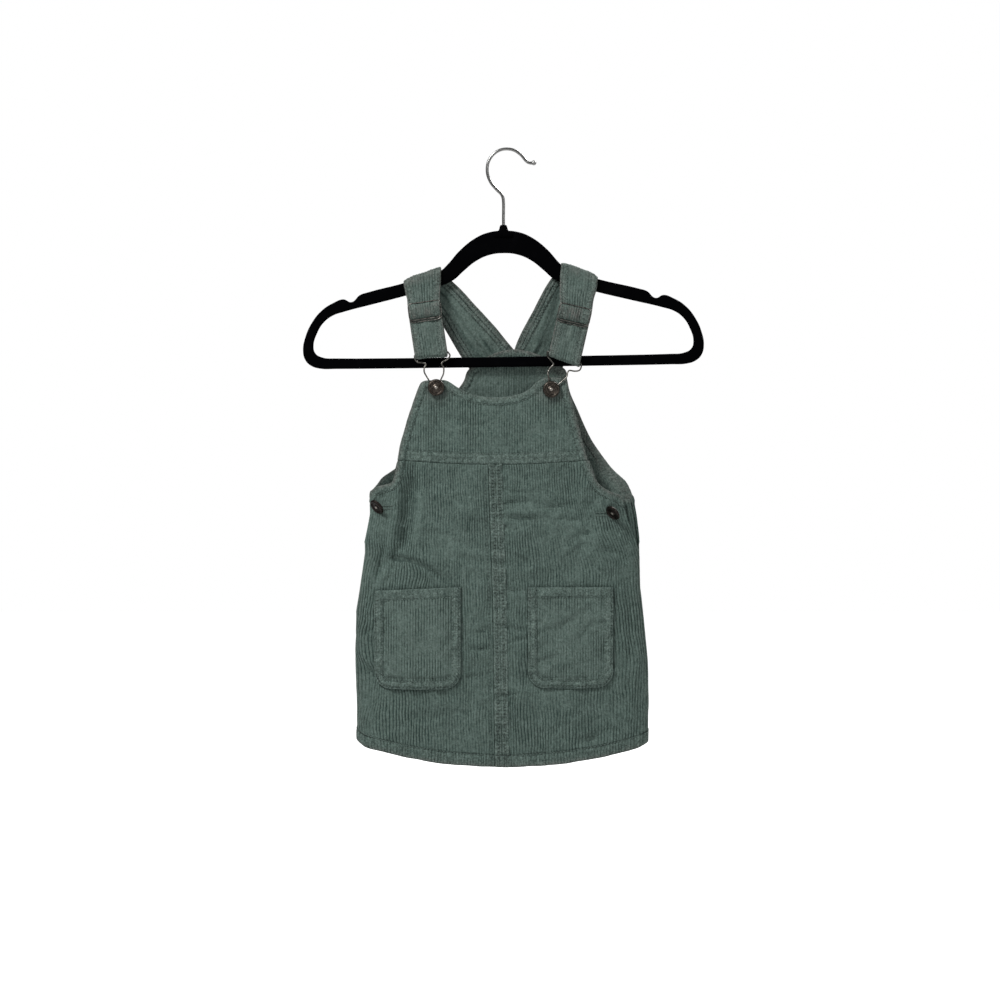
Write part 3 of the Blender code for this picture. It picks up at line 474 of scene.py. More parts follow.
# The Mix node's sockets for colours.
MIX_FIRST = 6
MIX_SECOND = 7
MIX_RESULT = 2


def feed(node, inputs):
    """Give a node's inputs their values: numbers, colours or what other nodes work out."""
    for key, value in inputs.items():
        socket = node.inputs[key]
        if isinstance(value, Value):
            node.id_data.links.new(value.socket, socket)
        elif socket.type == "RGBA":
            socket.default_value = (*value, 1.0)
        else:
            socket.default_value = value


def new_value(tree, kind, inputs, output=0, **settings):
    node = tree.nodes.new(kind)
    for key, setting in settings.items():
        setattr(node, key, setting)
    feed(node, inputs)
    return Value(node.outputs[output])


def nodes_of(name):
    mat = bpy.data.materials.new(name)
    mat.use_nodes = True
    tree = mat.node_tree
    return mat, tree, tree.nodes["Principled BSDF"]


def attribute(tree, name):
    return new_value(tree, "ShaderNodeAttribute", {}, "Fac", attribute_name=name)


def object_place(tree):
    return new_value(tree, "ShaderNodeTexCoord", {}, "Object")


def bumps(height, strength, distance):
    inputs = {"Strength": strength, "Distance": distance, "Height": height}
    return height.node("ShaderNodeBump", inputs, "Normal")


# Linear colours of the cloth, the thread, the flock and clean metal.
# The grooves' colour, the first below, is painted shade between the wales.
GROOVE_SHADE = (0.0160, 0.0290, 0.0250)
PILE = (0.0568, 0.0832, 0.0727)
PILE_LIT = (0.0885, 0.1215, 0.1075)
# Rubbed pile, also used as painted light where the cloth lies in the front's shade.
PILE_RUBBED_AND_LIT = (0.1010, 0.1335, 0.1185)
PILE_WORN = (0.0920, 0.0965, 0.0885)
WRONG_SIDE = (0.0900, 0.1200, 0.1060)
WRONG_SIDE_DARK = (0.0560, 0.0800, 0.0700)
SHEEN = (0.66, 0.86, 0.78)
THREAD_DARK = (0.050, 0.082, 0.070)
THREAD_LIT = (0.110, 0.150, 0.130)
FLOCK_DARK = (0.0003, 0.0003, 0.0005)
FLOCK_LIT = (0.0013, 0.0013, 0.0017)
FLOCK_RUBBED = (0.0035, 0.0035, 0.0040)
METAL_CLEAN = (0.30, 0.28, 0.25)
# Noise in the materials: how fine, to the metre, how detailed and how rough.
FUZZ = (1900.0, 3.0, 0.65)
SPECK = (620.0, 2.0, 0.75)
PATCH = (40.0, 4.0, 0.6)
THREAD_TWIST = (3000.0, 2.0)
FLOCK_GRAIN = (2200.0, 3.0, 0.7)
PLAIN = (1.0, 3.0, 0.6)
# How fine the stretched noise is along x, y and z, to the metre.
STREAKS = (700.0, 700.0, 90.0)
MOTTLE = (420.0, 420.0, 260.0)
# How dark a needle hole is, and the valley and ridge of a pucker.
HOLE_SHADE = 0.26
PUCKER_SHADES = (0.87, 1.12)
GRIT_PLAIN = 0.27
GRIT_SEWN = 0.45


def corduroy_material():
    """Pile with painted shade in the grooves, lit on the crests, paler at seams and greyer where worn.

    The attributes come from the meshes: crest is the pile's height, lowered in furrows and deep creases,
    and it picks the pile's colour over the grooves' painted shade; wear and rub are how worn or rubbed it
    is, and rub also lifts it as painted light where it lies in shade; inside marks the wrong side, row
    marks a stitch line with its needle holes in painted shade, and along and band place the puckers that
    the stitches draw up on a sewn edge, with their painted shade and highlight.
    """
    mat, tree, shader = nodes_of("corduroy")
    place = object_place(tree)
    crest, wear, rub, inside, along, band, row = (
        attribute(tree, name) for name in ("crest", "wear", "rub", "inside", "along", "band", "row"))
    streak = place.stretched(STREAKS).noise(*PLAIN)
    mottle = place.stretched(MOTTLE).noise(*PLAIN)
    fuzz = place.noise(*FUZZ)
    speck = place.noise(*SPECK)
    patch = place.noise(*PATCH)

    # A needle hole to each stitch, and puckers a little closer than the stitches.
    hole = (along * (2 * math.pi / STITCH_PITCH) + mottle * 3.0).maths("SINE")
    hole = row * hole.ramp(-0.3, 0.7, 0.25, 1.0)
    across = place.noise(230.0, 1.0) * 5.0
    drawn = along.node("ShaderNodeCombineXYZ", {"X": along * (1 / PUCKER_L), "Y": across})
    pucker = drawn.noise(1.0, 2.0, 0.6).ramp(0.34, 0.66, -1.0, 1.0) * band

    pile = (streak + mottle * 0.8).ramp(0.66, 1.12).mix(PILE, PILE_LIT)
    rubbed = rub * mottle.ramp(0.30, 0.62, 0.35, 1.2) * pucker.ramp(-0.8, 0.8, 0.50, 1.25)
    pile = rubbed.maths("MINIMUM", 1.0).mix(pile, PILE_RUBBED_AND_LIT)
    worn = wear * mottle.ramp(0.30, 0.66, 0.45, 1.25)
    pile = worn.maths("MINIMUM", 1.0).mix(pile, PILE_WORN)
    height = crest + mottle.ramp(0.25, 0.75, -0.26, 0.26)
    cloth = height.ramp(-0.05, 0.85).mix(GROOVE_SHADE, pile)
    cloth = inside.mix(cloth, mottle.ramp(0.35, 0.65).mix(WRONG_SIDE_DARK, WRONG_SIDE))

    # The pile is gritty, most of all where it is sewn down.
    grit = speck.ramp(0.32, 0.68, -1.0, 1.0) * band.ramp(0.0, 1.0, GRIT_PLAIN, GRIT_SEWN)
    tone = patch.ramp(0.3, 0.7, 0.93, 1.07) * (grit + 1.0) * fuzz.ramp(0.25, 0.75, 0.8, 1.2)
    shade = hole.ramp(0.0, 1.0, 1.0, HOLE_SHADE) * pucker.ramp(-1.0, 1.0, *PUCKER_SHADES)
    lumps = fuzz * 0.5 + mottle + pucker * 0.5 + grit - hole
    feed(shader, {
        "Base Color": cloth.scaled(tone).scaled(shade),
        "Roughness": 0.95,
        "Specular IOR Level": 0.1,
        "Sheen Weight": 0.10,
        "Sheen Roughness": 0.5,
        "Sheen Tint": SHEEN,
        "Normal": bumps(lumps, 0.7, 0.0006),
    })
    return mat


def thread_material():
    """Tone-on-tone thread, a little paler than the pile."""
    mat, tree, shader = nodes_of("thread")
    twist = object_place(tree).noise(*THREAD_TWIST)
    feed(shader, {"Base Color": twist.mix(THREAD_DARK, THREAD_LIT), "Roughness": 0.65})
    return mat


def flock_material():
    """Short black fibres: a grain of fine bumps and hardly any gloss."""
    mat, tree, shader = nodes_of("flock")
    place = object_place(tree)
    grain = place.noise(*FLOCK_GRAIN)
    rubbed = place.noise(60.0, 3.0).ramp(0.55, 0.75, 0.0, 0.3)
    feed(shader, {
        "Base Color": rubbed.mix(grain.mix(FLOCK_DARK, FLOCK_LIT), FLOCK_RUBBED),
        "Roughness": 1.0,
        "Specular IOR Level": 0.01,
        "Normal": bumps(grain, 0.6, 0.0003),
    })
    return mat


def metal_material(name, dark, bright, rough, patches):
    """Metal with a darker tarnish in patches; the attribute bright rubs it clean."""
    mat, tree, shader = nodes_of(name)
    place = object_place(tree)
    patina = place.noise(patches, 5.0, 0.65)
    metal = patina.ramp(0.35, 0.65).mix(dark, bright)
    feed(shader, {
        "Base Color": attribute(tree, "bright").mix(metal, METAL_CLEAN),
        "Roughness": patina.ramp(0.3, 0.7, rough + 0.15, rough),
        "Metallic": 1.0,
        "Normal": bumps(place.noise(patches * 6.0, 2.0), 0.3, 0.00005),
    })
    return mat


METALS = (
    # name, dark, bright, roughness, patches to the metre
    ("hook_steel", (0.12, 0.12, 0.12), (0.34, 0.34, 0.33), 0.22, 900.0),
    ("dark_wire", (0.030, 0.029, 0.026), (0.200, 0.190, 0.170), 0.30, 500.0),
    ("slider_wire", (0.022, 0.021, 0.019), (0.250, 0.240, 0.220), 0.26, 500.0),
    ("bronze", (0.010, 0.009, 0.008), (0.088, 0.074, 0.062), 0.38, 800.0),
    ("bronze_dull", (0.006, 0.005, 0.005), (0.036, 0.031, 0.027), 0.42, 800.0),
)

CORDUROY = corduroy_material()
THREAD = thread_material()
FLOCK = flock_material()
STEEL, DARK_WIRE, SLIDER_WIRE, BRONZE, BRONZE_DULL = (metal_material(*row) for row in METALS)


# ======== the dress's surface
def table(rows):
    """A table as an array, in the order of its first column."""
    return np.array(sorted(rows), float)


def cos_sin(degrees):
    return math.cos(math.radians(degrees)), math.sin(math.radians(degrees))


def falloff(d, width):
    """1 at the place itself, fading to both sides of it."""
    return np.exp(-(d / width) ** 2)


def spot(x, z, place, across, along):
    """1 at the place, fading round it."""
    return np.exp(-((x - place[0]) / across) ** 2 - ((z - place[1]) / along) ** 2)


def length_along(points):
    """How far along a line each of its points lies."""
    return np.concatenate([[0], np.cumsum(np.linalg.norm(np.diff(points, axis=0), axis=1))])


def in_columns(values, grid):
    """One value for each column, as a grid of the same shape as another."""
    return values[:, None] * np.ones(grid.shape)


def smooth_line(points, steps):
    """A Catmull-Rom curve through the points, with so many steps a span."""
    p = np.array(points, float)
    p = np.vstack([p[:1], p, p[-1:]])
    t = np.arange(steps)[:, None] / steps
    spans = []
    for a, b, c, d in zip(p, p[1:], p[2:], p[3:]):
        spans.append(0.5 * (2 * b + (c - a) * t + (2 * a - 5 * b + 4 * c - d) * t ** 2
                            + (3 * b - a - 3 * c + d) * t ** 3))
    return np.vstack(spans + [p[-1:]])


FORM_T = table(FORM)
CENTRE_T = table(CENTRE_FRONT)
OPENING_T = table(RIGHT_OPENING)
FRONT_LINE = smooth_line(FRONT_EDGE, 6)
BACK_LINE = smooth_line(BACK_EDGE, 6)


LATTICE = 400
LATTICE_MIDDLE = 150.0


def soft_noise(x, z, size_x, size_z, seed):
    """Smooth seeded noise from -1 to 1, in lumps of the given size."""
    lattice = np.random.default_rng(seed).uniform(-1, 1, (LATTICE, LATTICE))
    a, b = np.broadcast_arrays(x / size_x + LATTICE_MIDDLE, z / size_z + LATTICE_MIDDLE)
    i, j = np.floor(a).astype(int), np.floor(b).astype(int)
    u, v = a - i, b - j
    u, v = u * u * (3 - 2 * u), v * v * (3 - 2 * v)
    i, j = i % (LATTICE - 1), j % (LATTICE - 1)
    near = lattice[i, j] * (1 - u) + lattice[i + 1, j] * u
    far = lattice[i, j + 1] * (1 - u) + lattice[i + 1, j + 1] * u
    return near * (1 - v) + far * v


def form(z):
    left, right, front, back = (np.interp(z, FORM_T[:, 0], FORM_T[:, k]) for k in (1, 2, 3, 4))
    return (left + right) / 2, (right - left) / 2, front, back


def turn_at(x, z):
    middle, half, _, _ = form(z)
    share = np.clip((x - middle) / half, -1.0, 1.0)
    return np.sign(share) * np.arcsin(np.abs(share) ** (SECTION_POWER / 2))


def bare_point(turn, z):
    turn, z = np.broadcast_arrays(np.asarray(turn, float), np.asarray(z, float))
    middle, half, front, back = form(z)
    sin, cos = np.sin(turn), np.cos(turn)
    power = 2 / SECTION_POWER
    depth = np.where(cos >= 0, front, back)
    x = middle + half * np.sign(sin) * np.abs(sin) ** power
    y = -depth * np.sign(cos) * np.abs(cos) ** power
    return np.stack([x, y, z], axis=-1)


def outward(turn, z):
    step = 0.02
    along = bare_point(turn + step, z) - bare_point(turn - step, z)
    down = bare_point(turn, z - 2.0) - bare_point(turn, z + 2.0)
    normal = np.cross(down, along)
    return normal / np.linalg.norm(normal, axis=-1, keepdims=True)


def fold_rise(folds, x, z):
    total = np.zeros(np.broadcast(x, z).shape)
    for fx, fz, along, across, lean, rise in folds:
        cos, sin = cos_sin(lean)
        dx, dz = x - fx, z - fz
        u = (dx * sin + dz * cos) / along
        v = (dx * cos - dz * sin) / across
        total += rise * np.exp(-u * u - v * v)
    return total


def rumple(x, z, seed):
    """The cloth's own soft unevenness: low waves across the wales, and broad swells."""
    tilt = 0.35 * soft_noise(x, z, 80.0, 80.0, seed)
    waves = soft_noise(x, z + tilt * x, 19.0, 6.5, seed + 1)
    amount = 0.65 + 0.5 * soft_noise(x, z, 45.0, 45.0, seed + 2)
    swells = soft_noise(x, z, 26.0, 34.0, seed + 3)
    small = soft_noise(x, z - 0.5 * x, 7.0, 4.5, seed + 4)
    # Thin creases run where a wave crosses zero, and fade in and out.
    line = soft_noise(x, z + tilt * x, 21.0, 6.0, seed + 5)
    shown = np.clip(1.8 * soft_noise(x, z, 24.0, 18.0, seed + 6), 0, 1)
    crease = shown * np.maximum(0.0, 1 - np.abs(line) / 0.24)
    return 1.2 * waves * amount + 0.7 * swells + 0.3 * small - 0.7 * crease


def dress_point(turn, z, rise=0.0, fine=True):
    """Places on the dress with its folds, moved out by rise, and the way out there."""
    place = bare_point(turn, z)
    out = outward(turn, z)
    cos = np.cos(turn)
    x = place[..., 0]
    fade = np.minimum(1.0, np.abs(cos) * 2.5)
    front, back = fold_rise(FRONT_FOLDS, x, z), fold_rise(BACK_FOLDS, x, z)
    if fine:
        calm = np.clip((-z - 200.0) / 25.0, 0.35, 1.0)
        front = front + CREASE_DEPTH * fold_rise(FRONT_CREASES, x, z)
        front = front + calm * rumple(x, z, SEEDS["rumple_front"])
        back = back + CREASE_DEPTH * fold_rise(BACK_CREASES, x, z)
        back = back + calm * rumple(x, z, SEEDS["rumple_back"])
    lift = rise + fade * np.where(cos >= 0, front, back)
    return place + out * lift[..., None], out


WAIST_MIDDLE = -8.0
HEM_LOWEST = {"front": -551.0, "back": -549.0}
HEM_HALF = 123.8
HEM_LIFT = 17.0              # how much higher the hem is at its sides
HEM_CORNER = 118.0


def seam_z(x):
    """The waist seam's height."""
    return -277.9 - 3.4 * np.maximum(0.0, 1 - ((x - WAIST_MIDDLE) / 78.0) ** 2)


def centre_x(z):
    """The middle of the centre band."""
    return np.interp(z, CENTRE_T[:, 0], CENTRE_T[:, 1])


def hem_z(x, side):
    """The hem's height, which turns up a little more at its corners."""
    corner = np.maximum(0.0, np.abs(x) - HEM_CORNER) / 13.0
    return HEM_LOWEST[side] + HEM_LIFT * (x / HEM_HALF) ** 2 + 4.0 * corner ** 2


def nearest_on(line, x, z):
    """Distance of places from a line in the XZ plane, and how far along it that is."""
    shape = np.shape(x)
    x, z = np.ravel(x), np.ravel(z)
    best, where = np.full(x.shape, 1e9), np.zeros(x.shape)
    run = 0.0
    for (ax, az), (bx, bz) in zip(line, line[1:]):
        dx, dz = bx - ax, bz - az
        length = math.hypot(dx, dz)
        if length < 1e-6:
            continue
        t = np.clip(((x - ax) * dx + (z - az) * dz) / length ** 2, 0, 1)
        square = (x - ax - t * dx) ** 2 + (z - az - t * dz) ** 2
        nearer = square < best
        best = np.where(nearer, square, best)
        where = np.where(nearer, run + t * length, where)
        run += length
    return np.sqrt(best).reshape(shape), where.reshape(shape)


# ======== relief of the cloth
def groove(d, at, width=0.75):
    """A stitch line's furrow, so far from an edge."""
    return falloff(d - at, width)


def edge_round(d, radius):
    """How far a rounded edge has dropped, so far from it."""
    inside = np.clip(d / radius, 0.0, 1.0)
    return radius * (1 - np.sqrt(np.maximum(0.0, 1 - (1 - inside) ** 2)))


def step_up(d, at, width=0.8):
    """1 nearer the edge than at, 0 beyond, with a short slope between."""
    return 1 / (1 + np.exp(np.clip((d - at) / (width / 4), -50, 50)))


FURROW_DEPTH = 0.55
WALE_SEAT = 0.6          # this share of a wale's height lies under the cloth's mean surface
FLAT_DEPTH = 0.3         # how far down pressed pile lies


class Cloth:
    """Relief and wear of a stretch of cloth, with its painted shade and light, gathered from its wales and
    its sewing.
    """

    GATHERED = ("rise", "furrow", "drop", "pucker", "deep", "faint", "wear", "rub", "along", "band", "row")

    def __init__(self, x, z, seed):
        self.x, self.z, self.seed = x, z, seed
        for name in self.GATHERED:
            setattr(self, name, np.zeros(np.shape(x)))

    def noise(self, size_x, size_z, extra):
        return soft_noise(self.x, self.z, size_x, size_z, self.seed + extra)

    def at_least(self, name, values):
        """Raise one of the gathered values to these where it is lower."""
        setattr(self, name, np.maximum(getattr(self, name), values))

    def sewn(self, d, s, width, rise, rows, worn=0.0, rubbed=0.6, pull=1.0, holes=0.6):
        """A turned edge or felled seam: so wide, so high, its stitches in rows, so far in.

        d is the distance from the edge and s the way along it; holes is how dark its
        needle holes are.
        """
        inside = step_up(d, width) * (d > -0.5)
        puff = 1 - 0.5 * np.clip(np.abs(d - width / 2) / (width / 2), 0, 1) ** 3
        self.at_least("rise", rise * inside * puff)
        # Each row's furrow dips the cloth and, by lowering its crest, darkens it: painted shade; its needle
        # holes are darkened as painted shade too.
        for row in rows:
            self.at_least("furrow", groove(d, row))
            self.at_least("row", holes * groove(d, row, 0.6))
        reach = falloff(np.maximum(d - width, 0), 4.0) * (d > -0.5)
        lumps = soft_noise(s, d, 3.1, 5.0, self.seed + 50)
        lumps = lumps + 0.8 * soft_noise(s, d, 7.0, 9.0, self.seed + 51)
        self.pucker = np.where(reach > self.band, 0.36 * pull * lumps * reach, self.pucker)
        near = inside * reach
        self.along = np.where(near > self.band, s, self.along)
        self.at_least("band", near)
        self.at_least("rub", rubbed * inside * (0.75 + 0.35 * lumps))
        self.at_least("wear", worn * falloff(np.maximum(d, 0), 3.0))

    def relief(self, u, flat=0.0):
        """How far the pile stands out at u wales, and the attributes of each point."""
        rows = np.array(WALE + ((1.0, 0.0),))
        whole = np.floor(u)
        pile = np.interp(u - whole, rows[:, 0], rows[:, 1])
        each = 0.5 + 0.5 * np.sin(whole * 12.9898 + self.seed)
        crisp = 0.80 + 0.42 * self.noise(15.0, 21.0, 60)
        crisp = crisp + 0.32 * soft_noise(whole * 1.0, self.z, 1.3, 7.0, self.seed + 61)
        crisp = crisp + 0.30 * soft_noise(whole * 1.0, self.z, 1.1, 2.9, self.seed + 62)
        for x, z, across, along, more in BOLD_WALES:
            crisp = crisp + more * spot(self.x, self.z, (x, z), across, along)
        crisp = np.clip(crisp, 0.15, 1.5) * (1 - 0.5 * self.band) * (1 - self.faint)
        height = WALE_H * crisp * (0.85 + 0.3 * each) * (pile - WALE_SEAT)
        height = height * (1 - flat) - FLAT_DEPTH * flat
        furrow = np.clip(self.furrow, 0, 1)
        out = height * (1 - 0.5 * furrow) - FURROW_DEPTH * furrow + self.rise + self.pucker - self.drop
        # The crest chooses between the pile's colour and the grooves' painted shade; furrows and deep
        # creases lower it, which is painted shade there.
        crest = (1 - np.clip(crisp, 0, 1.25) * (1 - pile)) * (1 - 0.6 * furrow) - 0.30 * self.deep
        face = {"crest": crest, "along": self.along, "band": self.band, "inside": np.zeros(out.shape)}
        for name in ("wear", "rub", "row"):
            face[name] = np.clip(getattr(self, name), 0, 1)
        return out, face


# ======== meshes
def placed(name, data):
    """An object in the scene."""
    obj = bpy.data.objects.new(name, data)
    bpy.context.scene.collection.objects.link(obj)
    return obj


def declared(obj, replaces):
    if replaces:
        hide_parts(*replaces)
    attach(obj, BODY)
    return obj


def new_piece(name, verts, faces, mat, slot, replaces=(), attributes=None):
    mesh = bpy.data.meshes.new(name)
    mesh.from_pydata((np.asarray(verts) * MM).tolist(), [], faces)
    mesh.update()
    for key, values in (attributes or {}).items():
        layer = mesh.attributes.new(key, "FLOAT", "POINT")
        layer.data.foreach_set("value", np.asarray(values, np.float32).ravel())
    mesh.shade_smooth()
    mesh.materials.append(mat)
    return declared(placed(name, mesh), replaces)


def closed_shell(outer, inner):
    """Faces between an outer grid and a coarser inner one, columns by rows.

    Both have as many columns.  The rows run down the outside and the inside alike.
    """
    columns, rows = outer.shape[:2]
    inner_rows = inner.shape[1]
    verts = np.concatenate([outer.reshape(-1, 3), inner.reshape(-1, 3)])
    start = columns * rows

    def o(i, j):
        return i * rows + j

    def n(i, j):
        return start + i * inner_rows + j

    faces = []
    for i in range(columns - 1):
        faces += [(o(i, j), o(i, j + 1), o(i + 1, j + 1), o(i + 1, j)) for j in range(rows - 1)]
        faces += [(n(i, j), n(i + 1, j), n(i + 1, j + 1), n(i, j + 1)) for j in range(inner_rows - 1)]
        faces.append((o(i, 0), o(i + 1, 0), n(i + 1, 0), n(i, 0)))
        low, inner_low = rows - 1, inner_rows - 1
        faces.append((o(i, low), n(i, inner_low), n(i + 1, inner_low), o(i + 1, low)))
    marks = inner_marks(rows, inner_rows)
    for i, flip in ((0, False), (columns - 1, True)):
        for j in range(inner_rows - 1):
            strip = [o(i, k) for k in range(marks[j], marks[j + 1] + 1)]
            face = [n(i, j)] + strip + [n(i, j + 1)]
            faces.append(tuple(face if flip else face[::-1]))
    return verts, faces


def inner_marks(rows, inner_rows):
    """Which rows the inner face keeps: close near the top, wider further down."""
    share = np.linspace(0, 1, inner_rows)
    marks = np.round(share ** 1.6 * (rows - 1)).astype(int) if inner_rows < rows else np.arange(rows)
    for k in range(1, inner_rows):
        marks[k] = max(marks[k], marks[k - 1] + 1)
    return marks


def rows_between(top, low, count, near_top=(0.0, 0.25, 0.6, 1.1, 1.8), near_low=(1.6, 0.9, 0.4, 0.0)):
    """Heights for each column: close at both ends, wider apart in the middle."""
    length = top - low
    ease = np.minimum(1.0, length / 26.0)
    tops = [top - d * ease for d in near_top]
    lows = [low + d * ease for d in near_low]
    first, last = tops[-1], lows[0]
    share = np.arange(1, count + 1) / (count + 1)
    share = share - ROWS_CLOSER * np.sin(2 * math.pi * share) / (2 * math.pi)
    middle = [first + (last - first) * s for s in share]
    return np.stack(tops + middle + lows, axis=1)


def two_faced(name, outer, inner, face, inner_face, flip=False, **more):
    """A shell from its two faces' points and attributes; flip where the columns run the other way."""
    order = slice(None, None, -1) if flip else slice(None)
    verts, faces = closed_shell(outer[order], inner[order])
    data = {key: np.concatenate([face[key][order].ravel(), inner_face[key][order].ravel()])
            for key in face}
    return new_piece(name, verts, faces, CORDUROY, "corduroy", attributes=data, **more)


def plain_face(shape):
    """Attributes of the cloth's wrong side, which lies deep in the dress; with crest 0, half its colour is
    the grooves' painted shade, for the shade inside the dress.
    """
    blank = np.zeros(shape)
    face = dict.fromkeys(("crest", "wear", "rub", "along", "band", "row"), blank)
    return {**face, "inside": blank + 0.5}


# How far the turned facing shows inside the right armhole, and inside the left one.
FACING_WIDE = 22.0
FACING_NARROW = 5.0


def show_facing(face, inner, x, away):
    """The armhole's facing turns the cloth's right side inwards along its edge."""
    wide = np.where(x > 0, FACING_WIDE, FACING_NARROW)
    faced = step_up(away, wide, 2.0)
    face["inside"] = 0.5 - 0.4 * faced
    # Its crest is kept high, clear of the grooves' painted shade, and on the right its rub is full: painted
    # light where the front shades the facing.
    face["crest"] = (0.85 + 0.15 * soft_noise(away, inner[..., 0], 2.0, 2.5, SEEDS["facing"])) * faced
    face["rub"] = faced * (x > 0)
    face["band"] = 0.8 * faced
    face["wear"] = 0.65 * np.exp(-(away / (0.40 * wide)) ** 4)


def cloth_panel(name, cloth, u, turns, flat=0.0, lift=0.0, inner_rows=24, inner_free=None, **more):
    """A closed corduroy shell on the dress's form."""
    relief, face = cloth.relief(u, flat)
    base, out = dress_point(turns, cloth.z)
    pick = inner_marks(cloth.z.shape[1], inner_rows)
    inner = (base + out * (lift - WALL))[:, pick]
    inner_face = plain_face(inner.shape[:2])
    if inner_free is not None:
        show_facing(inner_face, inner, cloth.x[:, pick], inner_free[:, pick])
    return two_faced(name, base + out * (relief + lift)[..., None], inner, face, inner_face, **more)


# ======== stitches
STITCH_RUNS = []     # each line of thread: points on the cloth, the way out there, lift, stitch length


def stitch_line(points, out, lift=0.12, size=STITCH_L):
    STITCH_RUNS.append((np.asarray(points), np.asarray(out), lift, size))


def run_of(line, count_per_mm=2.0):
    """Even points along a line."""
    line = np.asarray(line, float)
    length = length_along(line)
    count = max(2, int(length[-1] * count_per_mm))
    at = np.linspace(0, length[-1], count)
    return np.stack([np.interp(at, length, line[:, k]) for k in range(line.shape[1])], axis=1)


STITCH_SIDES = 4
STITCH_SHAPE = (
    # share of the length, height above the cloth, share of the radius
    (0.00, -0.45, 0.6),
    (0.14, 0.02, 1.0),
    (0.50, 0.14, 1.0),
    (0.86, 0.02, 1.0),
    (1.00, -0.45, 0.6),
)


def unit(vector):
    return vector / (np.linalg.norm(vector) + 1e-9)


def at_length(place, length, values):
    """The value so far along a line, from those at its points."""
    return np.array([np.interp(place, length, values[:, c]) for c in range(3)])


def tube_faces(base):
    """Faces of one stitch whose points begin at base, closed at both ends."""
    sides, last = STITCH_SIDES, base + (len(STITCH_SHAPE) - 1) * STITCH_SIDES
    faces = []
    for row in range(base, last, sides):
        for c in range(sides):
            a, b = row + c, row + (c + 1) % sides
            faces.append((a, b, b + sides, a + sides))
    return faces + [tuple(range(base + sides - 1, base - 1, -1)), tuple(range(last, last + sides))]


def make_stitches(name):
    """Every stitch as a short thread whose ends dip into the cloth, in one mesh."""
    ring = [cos_sin(360 * k / STITCH_SIDES) for k in range(STITCH_SIDES)]
    verts, faces = [], []
    for points, out, lift, long in STITCH_RUNS:
        length = length_along(points)
        count = int((length[-1] - STITCH_GAP / 2) // (long + STITCH_GAP)) or 1
        for k in range(count):
            begin = k * (long + STITCH_GAP) + STITCH_GAP / 2
            along = unit(at_length(begin + long, length, points) - at_length(begin, length, points))
            side = unit(np.cross(along, at_length(begin + long / 2, length, out)))
            up = np.cross(side, along)
            faces += tube_faces(len(verts))
            for share, height, radius in STITCH_SHAPE:
                centre = at_length(begin + long * share, length, points) + up * (height + lift)
                verts += [centre + (side * c + up * s) * THREAD_R * radius for c, s in ring]
    return new_piece(name, verts, faces, THREAD, "corduroy")


def stitch_on_form(xz, on_back=False, rise=0.0):
    """A stitch line through places given by their X and Z on the front or back."""
    x, z = run_of(xz, 1.2).T
    turn = turn_at(x, z)
    stitch_line(*dress_point(math.pi - turn if on_back else turn, z, rise))


def stitch_on_front(x, z, rise):
    stitch_line(*dress_point(turn_at(x, z), z, rise))


def inset_line(line, by):
    """A line moved sideways by so much, to the left of its direction when positive."""
    line = np.asarray(line, float)
    along = np.gradient(line, axis=0)
    along /= np.linalg.norm(along, axis=1, keepdims=True) + 1e-9
    moved = line + np.stack([-along[:, 1], along[:, 0]], axis=1) * by
    keep = nearest_on(line, moved[:, 0], moved[:, 1])[0] > abs(by) * 0.93
    return moved[keep]


# ======== cloth panels
PHASES = np.array([row[0] for row in WALE])
ROWS_CLOSER = 0.3        # by this share at the ends of a column than if they were even
# How far in from an edge the mesh has rows, closest at the stitch lines.
HEM_ROWS = (HEM_W + 1.4, HEM_W + 0.3, HEM_W - 0.2, HEM_W - 0.5, HEM_W - 0.8, HEM_W - 1.3, HEM_W - 2.6,
            6.6, 4.0, 2.2, 1.3, 0.7, 0.3, 0.0)
WAIST_ROWS = (5.0, 9.4)
BIB_LOW_ROWS = (11.8, 10.6, 10.0, 9.6, 9.4, 9.2, 8.8, 7.6, 6.2, 5.5, 5.2, 5.0, 4.8, 4.4, 3.0, 1.4, 0.5, 0.0)
BOLD_WALES = (
    # x,     z,      across, along, more
    (-124, -452, 18, 26, 0.60),
    (-70, -378, 24, 12, 0.40),
    (-80, -515, 50, 26, 0.35),
    (40, -520, 60, 22, 0.25),
    (118, -430, 12, 40, 0.35),
    (-40, -310, 30, 16, 0.20),
    (60, -352, 30, 22, -0.25),
    (-55, -345, 20, 14, -0.20),
)
POCKET_TOP_ROWS = (0.0, 0.25, 0.6, 1.1, 1.8, 4.0, 6.4, 7.8, 8.4, 8.7, 9.0, 9.6, 10.6)
POCKET_LOW_ROWS = (2.2, 1.4, 0.8, 0.35, 0.0)
POCKET_LIFT = GAP + WALL
# How many more rows a column has between those near its ends.
POCKET_ROWS = 62
BIB_FRONT_ROWS = 58
BIB_BACK_ROWS = 40


def wale_places(count):
    """Places in wales, at each phase of each wale, and one at the end."""
    return np.concatenate([(np.arange(count)[:, None] + PHASES).ravel(), [count]])


Z_GRID = np.arange(-560.0, -268.0, 3.0)
SIDE_TURN = math.pi / 2
SIDE_LAP = 0.03          # the panels lap this much turn at the side seams
FAN = 1.4                # wales spread with the flare the more, the nearer the side they are
FRONT_ROWS = 150
BACK_ROWS = 80
BAND_WALES = 6
UNDER_BAND = 0.6         # the right panel runs this far in under the band
TUCK = 1.2               # the skirt's raw edge runs this far up behind the bib
PITCH_AT = -330.0        # the height where the wales have their pitch
ARC_STEPS = 260
HEM_AT = -545.0          # the height where the columns' places at the hem are taken
SIDE_JOINED = -366.0     # the right side opening ends above this
SIDE_SEWN = -352.0       # the side seams show below this


